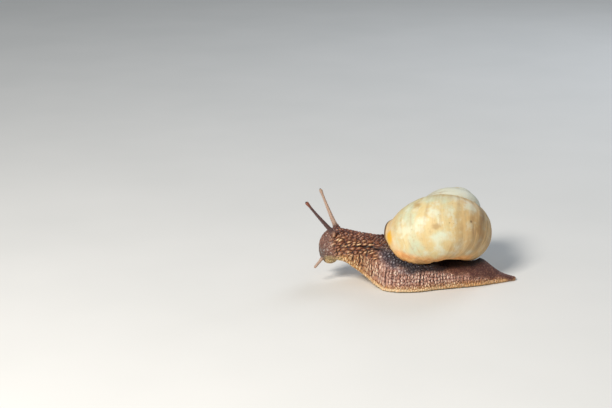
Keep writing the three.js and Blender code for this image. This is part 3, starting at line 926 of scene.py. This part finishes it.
def half_sections(x):
    """Half of each cross section as across and height, from the middle of the sole round to the ridge."""
    sole, back, edge, wall, shoulder, peak, _ = body_sizes(x).T[:, :, None]
    in_out = np.linspace(0, 1, SOLE_STEPS, endpoint=False)
    under = np.stack([(edge - EDGE_ROUNDING) * in_out, sole + 0 * in_out], axis=-1)
    up = np.linspace(0, 1, WALL_STEPS, endpoint=False)
    flank_across = shoulder + (edge - shoulder) * (1 - up) ** 2
    flank_height = sole + EDGE_ROUNDING + (wall - EDGE_ROUNDING) * up
    flank = np.stack([flank_across, flank_height], axis=-1)
    way = np.linspace(0, math.pi / 2, BACK_STEPS)
    rise = (back - sole - wall) * np.sin(way) ** peak
    top = np.stack([shoulder * np.abs(np.cos(way)) ** peak, sole + wall + rise], axis=-1)
    return np.concatenate([under, flank, top], axis=1)


body_x = np.arange(BODY[0, 0], BODY[-1, 0] + 0.01, TRUNK_STEP)
halves = half_sections(body_x)
whole = np.concatenate([halves, halves[:, -2:0:-1] * [-1, 1]], axis=1)
along_body = np.broadcast_to(body_x[:, None], whole.shape[:2])
across_body = whole[..., 0] + body_sizes(body_x)[:, 6:]
trunk = loft("trunk", np.stack([along_body, across_body, whole[..., 1]], axis=-1))

neck_ring = on_tube(COLLAR_STAND, round_the_tube(TUBE_SIDES), -LIP_WALL - NECK_FROM_WALL)
quarter = TUBE_SIDES // 4
along_axis = neck_ring[quarter] - neck_ring[3 * quarter]
away_from_axis = neck_ring[0] - neck_ring[2 * quarter]
up_the_mouth = unit(np.cross(along_axis, away_from_axis))
inwards = neck_ring.mean(axis=0) - neck_ring
neck_rings = [neck_ring + inwards * narrowing + up_the_mouth * reach for narrowing, reach in NECK_RINGS]
neck_in_mouth = loft("neck in the mouth", np.stack(neck_rings))
print("body is", round(body_x[-1] - body_x[0], 1), "mm long")

# %% Feelers and lips
# Radius at the root, before the tip and in the bulb
STALK_RADII = (0.95, 0.42, 0.62)
MOUTH_FEELER_RADII = (0.75, 0.42, 0.5)
# Root, tip and radii of each feeler
FEELERS = {
    "left eye": ([-35.9, -2.7, 18.2], [-45.5, -8.0, 31.0], STALK_RADII),
    "right eye": ([-35.0, 2.6, 18.5], [-40.6, 7.0, 31.2], STALK_RADII),
    "left of mouth": ([-39.3, -2.9, 10.5], [-42.6, -4.6, 6.6], MOUTH_FEELER_RADII),
    "right of mouth": ([-39.3, 2.9, 10.5], [-40.4, 4.6, 6.0], MOUTH_FEELER_RADII),
}
FEELER_STEPS = 60
FEELER_SIDES = 24
FEELER_SAG = 0.035
ROOT_SPREAD = 0.45
BULB_SHARE = 0.40 / 0.42  # how much of the bulb's extra width the tube has beside it
LIP_PLACE = np.array([-37.4, 1.9, 8.9])
LIP_RADII = [2.4, 1.8, 1.9]


def feeler_line(root, tip):
    """Points along a gently bowed line from root to tip."""
    root, tip = np.array(root), np.array(tip)
    bow = (root + tip) / 2 - [0, 0, FEELER_SAG * np.linalg.norm(tip - root)]
    t = np.linspace(0, 1, FEELER_STEPS)[:, None]
    return (1 - t) ** 2 * root + 2 * t * (1 - t) * bow + t**2 * tip


def taper(t, root_r, tip_r):
    """The feeler's radius at a share t of its length."""
    return tip_r + (root_r - tip_r) * (1 - t) ** 1.6


def feeler(name, root, tip, radii):
    """A tapered round tube that widens into the head at its root and ends in a bulb."""
    root_r, tip_r, bulb_r = radii
    line = feeler_line(root, tip)
    t = np.linspace(0, 1, FEELER_STEPS)
    length = np.linalg.norm(line[-1] - line[0])
    radius = taper(t, root_r, tip_r) + ROOT_SPREAD * np.exp(-t * length / 0.7)
    radius = radius + BULB_SHARE * (bulb_r - tip_r) * ridge(t * length, length, 1.3)
    side = unit(np.cross([0, 1, 0], line[-1] - line[0]))
    rise = unit(np.cross(line[-1] - line[0], side))
    way = round_the_tube(FEELER_SIDES)
    outwards = side * np.cos(way)[:, None] + rise * np.sin(way)[:, None]
    tube = loft(name + " feeler", line[:, None] + outwards * radius[:, None, None])
    return [tube, ball(name + " bulb", line[-1], [bulb_r] * 3)]


feeler_pieces = []
for name, (root, tip, radii) in FEELERS.items():
    feeler_pieces += feeler(name, root, tip, radii)
lips = [ball("lip", LIP_PLACE * [1, side, 1], LIP_RADII) for side in (-1, 1)]
print(len(feeler_pieces) + len(lips), "feeler and lip pieces")

# %% [markdown]
# ## One skin
# Where feelers, lips and neck meet, a real snail has no crease. So the parts are fused, and the joins
# between them are smoothed more than the rest, by a weight that is highest in the middle of each join. The
# shell then gets its room: its tube and pillar, a little larger, are cut out of the body. Anything that
# this leaves lying loose inside the shell is dropped.

# %% Fuse the body and ease its joins
SKIN_CUBE = 0.15
ROOT_EASING = 1.9
LIPS_MIDDLE = [-39.6, 0, 9.4]
LIPS_EASING = 2.6
EASING_ROUNDS = 14
EASING_LEVELS = 10

skin = fuse("snail_skin", [trunk, neck_in_mouth, *feeler_pieces, *lips], SKIN_CUBE, smoothing=4)
spots = points_of(skin)
x, y, z = spots.T
joins = [ridge(np.linalg.norm(spots - root, axis=1), 0, ROOT_EASING) for root, _, _ in FEELERS.values()]
joins.append(0.8 * ridge(np.linalg.norm(spots - LIPS_MIDDLE, axis=1), 0, LIPS_EASING, power=4))
into_the_mouth = ramp(x, -24, -20) * ramp(x, -8, -12) * ramp(z, 9, 12)
joins.append(into_the_mouth)
near_join = np.max(joins, axis=0)
group = skin.vertex_groups.new(name="joins")
for level in range(1, EASING_LEVELS + 1):
    chosen = np.nonzero(np.round(near_join * EASING_LEVELS) == level)[0]
    group.add(chosen.tolist(), level / EASING_LEVELS, "REPLACE")
ease = skin.modifiers.new("ease joins", "SMOOTH")
ease.factor = 0.5
ease.iterations = EASING_ROUNDS
ease.vertex_group = "joins"
worked_in(skin)
skin.vertex_groups.clear()
print("fused skin has", len(skin.data.vertices), "points")


# %% Clear the body of the shell and keep only the body itself
SHELL_CLEARANCE = 0.35
CLEARANCE_CUBE = 0.3


def keep_largest_part(piece):
    """Drops every part of the piece that isn't joined to its largest one."""
    edges = np.empty(len(piece.data.edges) * 2, np.int32)
    piece.data.edges.foreach_get("vertices", edges)
    first, last = edges.reshape(-1, 2).T
    part = np.arange(len(piece.data.vertices))
    while True:
        lowest = part.copy()
        np.minimum.at(lowest, first, part[last])
        np.minimum.at(lowest, last, part[first])
        lowest = lowest[lowest]
        if np.array_equal(lowest, part):
            break
        part = lowest
    largest = np.bincount(part).argmax()
    heap = bmesh.new()
    heap.from_mesh(piece.data)
    heap.verts.ensure_lookup_table()
    loose = [heap.verts[i] for i in np.nonzero(part != largest)[0]]
    bmesh.ops.delete(heap, geom=loose, context="VERTS")
    heap.to_mesh(piece.data)
    heap.free()
    return len(loose)


clearance_turns = np.linspace(-2 * FULL_TURN, 0.03, 420)
cut_away(skin, shell_room(clearance_turns, SHELL_CLEARANCE, CLEARANCE_CUBE))
print("cut skin has", len(skin.data.vertices), "points, loose ones dropped:", keep_largest_part(skin))

# %% [markdown]
# ## Skin relief
# A snail's skin is a net of knobs parted by grooves in which slime runs. On the neck the knobs are long
# and lie in rows, on the flank of the foot they stand in upright columns, round the shell they are small
# beads, and on the tail they are as fine as grain. Each of these is a net of cells with its own size and
# direction, drawn in the body's own measures: how far along it a point lies, and how far round it from
# the ridge of the back.

# %% Measure each point of the skin along and round the body
TABLE_STEP = 0.5
TABLE_X = np.arange(BODY[0, 0], BODY[-1, 0] + TABLE_STEP, TABLE_STEP)
TABLE_ANGLES = np.linspace(0, math.pi, 181)
OTHER_SIDE = 500  # moves the right side away in the nets, so that it does not mirror the left


def height_of_middle(sizes):
    """The height in each cross section from which its angles are measured."""
    return sizes[:, 0] + 0.45 * (sizes[:, 1] - sizes[:, 0])


def round_tables():
    """For each x and angle, the way round the trunk from its ridge and the trunk's radius there, and for
    each x the way to the sole's edge."""
    sections = half_sections(TABLE_X)[:, ::-1]
    middles = height_of_middle(body_sizes(TABLE_X))
    steps = np.linalg.norm(np.diff(sections, axis=1), axis=-1)
    ways = np.concatenate([np.zeros((len(TABLE_X), 1)), np.cumsum(steps, axis=1)], axis=1)
    way_rows, radius_rows = [], []
    for section, middle_z, way in zip(sections, middles, ways):
        aside, up = section[:, 0], section[:, 1] - middle_z
        seen_at = np.maximum.accumulate(np.arctan2(aside, up))
        way_rows.append(np.interp(TABLE_ANGLES, seen_at, way))
        radius_rows.append(np.interp(TABLE_ANGLES, seen_at, np.hypot(aside, up)))
    return np.array(way_rows), np.array(radius_rows), ways[:, BACK_STEPS + WALL_STEPS - 1]


def look_up(table, x, angle):
    """The table's value between its rows and columns."""
    row = np.clip((x - TABLE_X[0]) / TABLE_STEP, 0, len(TABLE_X) - 1.001)
    column = np.clip(angle / TABLE_ANGLES[1], 0, len(TABLE_ANGLES) - 1.001)
    i, j = row.astype(int), column.astype(int)
    s, t = row - i, column - j
    upper = table[i, j] * (1 - t) + table[i, j + 1] * t
    lower = table[i + 1, j] * (1 - t) + table[i + 1, j + 1] * t
    return upper * (1 - s) + lower * s


spots = points_of(skin)
facing = directions_of(skin)
x, y, z = spots.T
sizes = body_sizes(x)
across = y - sizes[:, 6]
above_middle = z - height_of_middle(sizes)
angle = np.arctan2(np.abs(across), above_middle)
from_ridge_table, radius_table, to_edge = round_tables()
from_ridge = look_up(from_ridge_table, x, angle)
stand_off = np.hypot(across, above_middle) - look_up(radius_table, x, angle)
above_edge = np.interp(x, TABLE_X, to_edge) - from_ridge
left_or_right = np.where(across < 0, 0, OTHER_SIDE)
print("way round the skin goes up to", round(float(from_ridge.max()), 1), "mm")

# %% Distances to the shell and the feelers
shell_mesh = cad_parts["shell"].data
shell_faces = [list(face.vertices) for face in shell_mesh.polygons]
tree = BVHTree.FromPolygons([vertex.co / MM for vertex in shell_mesh.vertices], shell_faces)
to_shell = np.array([tree.find_nearest(Vector(spot))[3] for spot in spots])

on_feeler = np.zeros(len(spots))
along_feeler = np.zeros(len(spots))
on_left_stalk = np.zeros(len(spots))
for name, (root, tip, (root_r, tip_r, _)) in FEELERS.items():
    line = feeler_line(root, tip)
    length = np.linalg.norm(line[-1] - line[0])
    near = np.nonzero(np.linalg.norm(spots - line.mean(axis=0), axis=1) < length)[0]
    gaps = np.linalg.norm(spots[near][:, None] - line, axis=2)
    t = gaps.argmin(axis=1) / (FEELER_STEPS - 1)
    radius = taper(t, root_r, tip_r)
    on_it = ramp(gaps.min(axis=1), radius + 0.6, radius + 0.3) * ramp(t * length, 0.8, 2.2)
    closer = on_it > on_feeler[near]
    on_feeler[near[closer]] = on_it[closer]
    along_feeler[near[closer]] = (t * length)[closer]
    if name == "left eye":
        on_left_stalk[near[closer]] = on_it[closer]
print("nearest point to the shell:", round(float(to_shell.min()), 2), "mm")


# %% Lay out the knobs of each part of the skin
def knobs(along, around, spacing, seed, steep, blocky, **shape):
    """A net of knobs: how high each point stands in its knob, how pale it is, and the knob's own number. A
    blocky knob is pale up to its border, and any other only on its tip. That paleness is partly the knob's
    own colour and partly a painted highlight."""
    border, middle_way, own = skin_cells(along, around, spacing, seed, **shape)
    high = 1 - (1 - np.clip(border / steep, 0, 1)) ** 1.7
    tip = ridge(middle_way, 0, 0.8)
    block = ramp(border, 0.1 * steep, 1.1 * steep) * (0.4 + 0.6 * tip)
    return high, blocky * block + (1 - blocky) * tip, own


uneven = 0.9 * noise(spots / 2.2, 42)
wander = 0.45 * noise(spots / 4.5, 41)
along = x + wander
round_it = from_ridge + left_or_right
leaning = along - 0.15 * above_edge * ramp(x, -20, -30)
up_it = above_edge + 0.5 * wander + left_or_right

# For each net: where its cells lie, their spacing and seed, how steep and blocky its knobs are, and their
# looseness, half sizes and slant
neck_knobs = knobs(
    along, round_it + 0.6 * wander, (1.9, 1.15), 51, 1.35, 0.3, jitter=0.85, knob=(0.95, 0.36), slant=0.5
)
top_knobs = knobs(
    along, round_it + wander, (1.25, 1.0), 55, 0.9, 0.6, jitter=0.85, knob=(0.6, 0.42), slant=0.35
)
front_knobs = knobs(leaning, up_it, (0.68, 1.6), 63, 0.62, 0.5, jitter=0.75, knob=(0.3, 0.9))
flank_knobs = knobs(leaning, up_it, (0.66, 1.15), 62, 0.75, 0.35, jitter=0.8, knob=(0.32, 0.58))
beads = knobs(along, round_it, (1.3, 1.1), 71, 0.8, 0.5, jitter=0.9, knob=(0.62, 0.5), slant=0.4)
grains = knobs(along, round_it, (0.72, 0.6), 81, 0.6, 0.2, jitter=0.7, knob=(0.4, 0.34), slant=0.3)
face_grains = knobs(along, round_it, (0.66, 0.56), 85, 0.8, 0.4, jitter=0.8, knob=(0.34, 0.3), slant=0.3)
print("laid out 7 nets of knobs on", len(spots), "points")

# %% [markdown]
# ## Parts of the skin
# No border on a snail is sharp, so each part of its skin is a share from 0 to 1 that rises over a
# millimetre or two, and noise lets the border wander. Some parts are told by their place along the body
# and their height, others by how near the shell is: the beads, the painted shade and the painted shadow
# stay close to it. Where the neck spreads out under the lip its skin is pulled smooth, and that fold gets
# no knobs.

# %% Tell the parts of the skin apart
# The height up to which the columns of the flank reach, at some places along the body
COLUMNS_X = [-40, -36, -32, -27, -21, -17, -9, 0, 8, 16, 22, 28]
COLUMNS_TOP = [9.6, 10.4, 11.2, 11.4, 10.2, 9.2, 8.2, 7.0, 4.7, 2.9, 1.8, 0.9]
# How far from the shell the beads and the painted shadow reach, at some places along the body
BEADS_X = [-20, -15, -11, -7, -3, 1]
BEADS_REACH = [6.8, 5.6, 4.0, 3.1, 1.8, 0.8]
SHADE_X = [-16, -12, -6, -2, 2, 6, 10, 15]
SHADE_REACH = [1.0, 1.6, 2.6, 3.0, 3.0, 2.3, 1.5, 1.2]

columns_top = np.interp(x, COLUMNS_X, COLUMNS_TOP)
flank = ramp(z + uneven, columns_top + 0.9, columns_top - 0.9)
tail = (1 - flank) * ramp(x, -3, 3)
neck = np.clip(1 - flank - tail, 0, 1)
top = neck * ramp(from_ridge + 0.9 * uneven, 4.8, 3.0)
front = ramp(x, -14, -22)
face = ramp(x + 0.25 * (z - 12) + 0.9 * uneven, -33.6, -37.6)
muzzle = face * ramp(x, -38.2, -40.2) * ramp(z + 0.6 * uneven, 14.4, 12.2)
chin = ramp(x, -40.4, -39.0) * ramp(x, -31.5, -35) * ramp(z + 0.5 * uneven, 11.4, 9.4)
sole = ramp(facing[:, 2], -0.75, -0.95) * ramp(z, 12.2, 11.2)
mantle_fold = ramp(stand_off, 0.3, 1.1) * ramp(x, -27, -24) * ramp(z, 11, 13)
# Painted shade: the skin near the shell is darkened where the shell shades it
near_shell = ramp(to_shell + 0.8 * uneven, 4.0, 1.4) * ramp(x, -27, -22)
beads_reach = np.interp(x, BEADS_X, BEADS_REACH)
beaded = ramp(to_shell + 1.1 * uneven, beads_reach, 0.3 * beads_reach)
beaded = beaded * ramp(z, 15.4, 12.4) * ramp(x + uneven, -25, -18.5)
# Painted shadow: the skin just under the shell's edge is darkened almost to black where the shell's shadow
# falls
shade_reach = np.interp(x, SHADE_X, SHADE_REACH)
under_shell = ramp(to_shell + 0.3 * uneven, shade_reach + 1.5, shade_reach)
under_shell = under_shell * ramp(z, 15.5, 12.0) * ramp(x, -20, -13)
fringe = ramp(above_edge + 0.35 * uneven, 1.3, 0.4) * flank
fringe = fringe * (1 - 0.75 * ramp(x, -13, 6)) * ramp(x, -28, -19)
on_body = (1 - on_feeler) * (1 - sole)
print("points on the flank:", int(np.sum(flank > 0.5)), "and on the tail:", int(np.sum(tail > 0.5)))

# %% Raise the knobs
bright_row = (0.62 + 0.55 * ridge(from_ridge, 6.2, 1.9, power=4)) * (1 - 0.2 * ramp(x, -24, -18))
no_fold = (1 - face) * (1 - mantle_fold)
plain_skin = (1 - beaded) * no_fold
# Where the knobs lie, the knobs, how tall they are and how bright their tips
layers = [
    ((neck - top) * plain_skin, neck_knobs, 0.60, bright_row),
    (top * plain_skin, top_knobs, 0.42, 0.75),
    (flank * front * plain_skin, front_knobs, 0.36, 0.85),
    (flank * (1 - front) * plain_skin, flank_knobs, 0.38, 0.9),
    (beaded * (1 - tail) * no_fold, beads, 0.50, 0.9),
    (tail, grains, 0.16, 0.6),
    (face, face_grains, 0.20, 0.62),
]
knob = pale = own_tone = height = 0.0
for share, (high, tips, own), depth, bright in layers:
    knob = knob + share * high
    pale = pale + share * tips * bright * (0.40 + 0.75 * own)
    own_tone = own_tone + share * own
    height = height + share * depth * (0.75 * high + 0.35 * tips * (0.6 + 0.8 * own) - 0.62)
pale = pale * (1 - 0.5 * flank * ramp(x, 3, 11))
print("knobs stand up to", round(float(height.max()), 2), "mm")

# %% [markdown]
# ## Grooves
# Upright grooves part the columns of the flank, a few long ones run along the neck, a fine line follows
# the fringe of the sole, and the mouth is a slit below the upper lip. Each of them sinks the skin,
# flattens the knobs it crosses and takes their pale tips away, so one loop makes them all. The finest
# grain and the soft folds come last, and nothing may swell into the shell or sink below the ground.

# %% Sink the grooves
COLUMN_WIDTH = 1.2
# Height at its front end, first and last x, and strength of each long groove
LONG_GROOVES = [(14.3, -30, -17.5, 1.0), (16.7, -33, -20, 0.4), (12.5, -29, -20, 0.4)]

column = (leaning + 0.5 * noise(spots / [2.4, 9, 9], 49)) / COLUMN_WIDTH + left_or_right
nearest_groove = np.round(column)
groove_strength = 0.38 + 0.55 * chance((nearest_groove, 0 * column), 61)
column_groove = ramp(np.abs(column - nearest_groove), 0.38, 0.06) * groove_strength
columns = column_groove * flank * plain_skin * (0.3 + 0.7 * ramp(above_edge, 0.6, 3.0))
foot_line = ridge(above_edge, 1.5, 0.14) * flank * ramp(x, -31, -27)
slit = ridge(y, 0, 0.17) * ramp(np.abs(z - 8.9), 1.6, 1.1)
upper_lip = ridge(z + 0.16 * y**2, 10.4, 0.2) * ramp(np.abs(y), 2.1, 1.3)
mouth = np.maximum(slit, upper_lip) * ramp(x, -37.6, -38.6)
# Where each groove lies, how deep it is, and how much of the knobs and of their pale tips it takes away
grooves = [(columns, 0.30, 0.85, 0.9), (foot_line, 0.10, 0.45, 0.0), (mouth, 0.40, 1.0, 1.0)]
waver = 0.5 * noise(spots / 3.0, 48)
for front_z, first_x, last_x, strength in LONG_GROOVES:
    off_line = z + waver - front_z + 0.05 * (x - first_x)
    ends = ramp(x, first_x, first_x + 2) * ramp(x, last_x, last_x - 2)
    grooves.append((strength * ridge(off_line, 0, 0.25) * ends, 0.35, 0.95, 1.0))
for where, depth, less_knob, less_pale in grooves:
    height = height - depth * where
    knob = knob * (1 - less_knob * where)
    pale = pale * (1 - less_pale * where)
print("grooves sunk, with", len(np.unique(nearest_groove)), "upright ones on the flanks")

# %% Move the skin and mark its points for its finish
GRAIN_DEPTH = 0.035
STALK_RELIEF = 0.03
LEAST_GAP = 0.15

grain = noise(spots / 0.34, 43) + 0.6 * noise(spots / 0.17, 44)
stalk_rings = np.sin(along_feeler * 9 + 2 * noise(spots / 0.6, 45))
folds = 0.22 * noise(spots / [5.0, 3.5, 3.0], 47) + 0.10 * mantle_fold * noise(spots / 0.9, 50)
height = (height + folds) * on_body + GRAIN_DEPTH * grain * (1 - sole)
height = height + STALK_RELIEF * on_feeler * (stalk_rings + noise(spots / 0.4, 46))
height = np.minimum(height, to_shell - LEAST_GAP)
moved = spots + facing * height[:, None]
moved[:, 2] = np.maximum(moved[:, 2], 0)
move_points(skin, moved)
mark_points(
    skin,
    knob=knob * on_body + 0.6 * on_feeler + 0.5 * sole,
    pale=np.clip(pale, 0, 1) * on_body,
    tone=own_tone,
    flank=flank,
    top=top,
    low=ramp(above_edge, 3.4, 0.2),
    fringe=fringe,
    ahead=ramp(x, -17, -29),
    tail=tail,
    near_shell=near_shell,
    beaded=beaded,
    under_shell=under_shell,
    face=face * (1 - on_feeler),
    mouth=mouth * (1 - on_feeler),
    muzzle=muzzle * (1 - on_feeler),
    chin=chin * (1 - on_feeler),
    feeler=on_feeler,
    tip=on_feeler * ramp(along_feeler, 14.5, 16.0),
    shaded_stalk=on_left_stalk,
    sole=sole,
)
print("relief from", round(float(height.min()), 2), "to", round(float(height.max()), 2), "mm")

# %% [markdown]
# ## Wet skin
# The colour of the skin is in the knobs: they are pale ochre on the neck, pinkish brown on the flank,
# bluish grey beside the shell and chocolate on the tail, and all of them sink into dark, reddish grooves.
# The pale tips of the knobs are partly their own colour and partly a painted highlight of the wet slime,
# bluish white on the beads beside the shell. The skin mixes those colours by the marks from the step
# before. Slime covers everything, so a clear coat lies on top, and a little light goes through the thin
# feelers.

# %% Colours of the knobs and grooves
wet_skin = Finish(
    "wet snail skin",
    {"Specular IOR Level": 0.4, "Coat Weight": 0.16, "Coat Roughness": 0.15, "Subsurface Weight": 0.15,
     "Subsurface Scale": 0.0007, "Subsurface Radius": (1.0, 0.45, 0.25)},
)
low_mark = wet_skin.mark("low")
tone = wet_skin.mark("tone")
golden = wet_skin.sum("MAXIMUM", wet_skin.mark("ahead"), low_mark)
places = {name: wet_skin.mark(name) for name in ("top", "flank", "beaded", "tail", "face", "chin")}


def by_tone(dark, light):
    """A colour that differs from knob to knob."""
    return wet_skin.mix(dark, light, tone)


def by_place(neck, *elsewhere):
    """The neck's colour, and over it one each for its top, flank, beads, tail, face and chin."""
    return wet_skin.lay(neck, [(over, where, 1) for over, where in zip(elsewhere, places.values())])


golden_body = wet_skin.mix("#AC764A", "#C89458", low_mark)
flank_groove = wet_skin.mix("#2C1411", "#74482A", low_mark)
groove_colour = by_place("#1E0A07", "#190806", flank_groove, "#161019", "#2A1714", "#3A231E", "#7C6840")
body_colour = by_place(
    by_tone("#7A442C", "#A26C48"),
    by_tone("#56291C", "#7C4A36"),
    wet_skin.mix(by_tone("#AA7865", "#D0A292"), golden_body, golden),
    by_tone("#4A3C46", "#6C5A64"),
    by_tone("#5A3630", "#724A40"),
    by_tone("#745046", "#946E60"),
    by_tone("#BA9C6C", "#D0B480"),
)
# Pale tips of the knobs: partly their own colour, partly a painted highlight of the wet slime, bluish white
# on the beads beside the shell
crest_and_highlight_colour = by_place(
    by_tone("#D4A676", "#F4D0A4"),
    by_tone("#94604A", "#C08E70"),
    wet_skin.mix(by_tone("#ECC4B0", "#F8E0CE"), "#F4D6A6", golden),
    by_tone("#8C8088", "#C0BEC8"),
    "#86624F",
    wet_skin.mix("#946E5C", "#C6C0BA", wet_skin.band(tone, 0.55, 0.95)),
    "#DCCA9E",
)
pale_tip_and_highlight_mark = wet_skin.mark("pale")
skin_colour = wet_skin.mix(groove_colour, body_colour, wet_skin.band(wet_skin.mark("knob"), 0.10, 0.72))
skin_colour = wet_skin.mix(skin_colour, crest_and_highlight_colour, wet_skin.band(pale_tip_and_highlight_mark, 0.15, 0.75))
print("colours for the neck and", len(places), "other places")

# %% Finish the skin
muzzle_colour = wet_skin.mix("#6A5E58", "#CCD0CE", wet_skin.band(pale_tip_and_highlight_mark, 0.34, 0.62))
# Painted shade and light: the feelers' pale colour is partly painted backlight, and the near, left eye
# stalk is darker for its shaded side
feeler_colour = wet_skin.mix("#B09482", "#5C403E", wet_skin.mark("shaded_stalk"))
feeler_colour = wet_skin.mix(feeler_colour, "#8A5340", wet_skin.mark("tip"))
skin_colour = wet_skin.lay(
    skin_colour,
    [
        (muzzle_colour, wet_skin.mark("muzzle"), 0.75),
        ("#4A2A20", wet_skin.band(wet_skin.noise(3.2), 0.35, 0.65), 0.22),
        ("#24110D", wet_skin.mark("mouth"), 0.85),
        # Painted shade near the shell, and painted shadow under its edge
        ("#2A1C1E", wet_skin.mark("near_shell"), 0.57),
        ("#1C151C", wet_skin.mark("under_shell"), 0.93),
        ("#ECD2AA", wet_skin.mark("fringe"), 0.70),
        (feeler_colour, wet_skin.mark("feeler"), 1),
        ("#B79A6C", wet_skin.mark("sole"), 1),
        ("#2F1B16", wet_skin.band(wet_skin.noise(0.45, detail=2), 0.56, 0.70), 0.35),
    ],
)
slime = wet_skin.band(wet_skin.noise(1.5), 0.3, 0.7, (0.34, 0.55))
drier_tail = wet_skin.band(places["tail"], 0, 1, (0.0, 0.15))
skin_finish = wet_skin.done(
    Base_Color=skin_colour,
    Roughness=wet_skin.sum("ADD", slime, drier_tail),
    Normal=wet_skin.bump(wet_skin.noise(0.18, detail=2), 0.035),
)
finish_piece(
    skin, skin_finish, "skin", "head", "neck", "foot", "tail", "eye_stalk_left", "eye_stalk_right",
    "mouth_feeler_left", "mouth_feeler_right",
)

# %% [markdown]
# ## Eyes
# A snail's eye is a black bead at the very tip of its long feeler, set in the bulb and about two thirds
# of a millimetre wide. Each is a smooth ball with a hard gloss.

# %% Set the eyes into their bulbs
EYE_R = 0.34
EYE_SINK = 0.2

bead_black = Finish(
    "eye bead", {"Roughness": 0.12, "Specular IOR Level": 0.6, "Coat Weight": 0.6, "Coat Roughness": 0.05}
)
bead_colour = bead_black.mix("#0C0808", "#241614", bead_black.noise(0.3, detail=1))
eye_finish = bead_black.done(Base_Color=bead_colour)
for side in ("left", "right"):
    root, tip, (_, _, bulb_r) = FEELERS[side + " eye"]
    middle = tip + unit(np.array(tip) - root) * (bulb_r - EYE_SINK)
    finish_piece(ball("eye_bead_" + side, middle, [EYE_R] * 3), eye_finish, "eye", "eye_" + side)

# %% [markdown]
# ## Sizes
# The dressed snail should keep the size of its solids. The last cell prints both boxes, side by side.

# %% Print the sizes and finish
dressed_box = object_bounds()
for name, (low, high) in {"solids": solids_box, "dressed": dressed_box}.items():
    print(name, "from", [round(v / MM, 2) for v in low], "to", [round(v / MM, 2) for v in high], "mm")
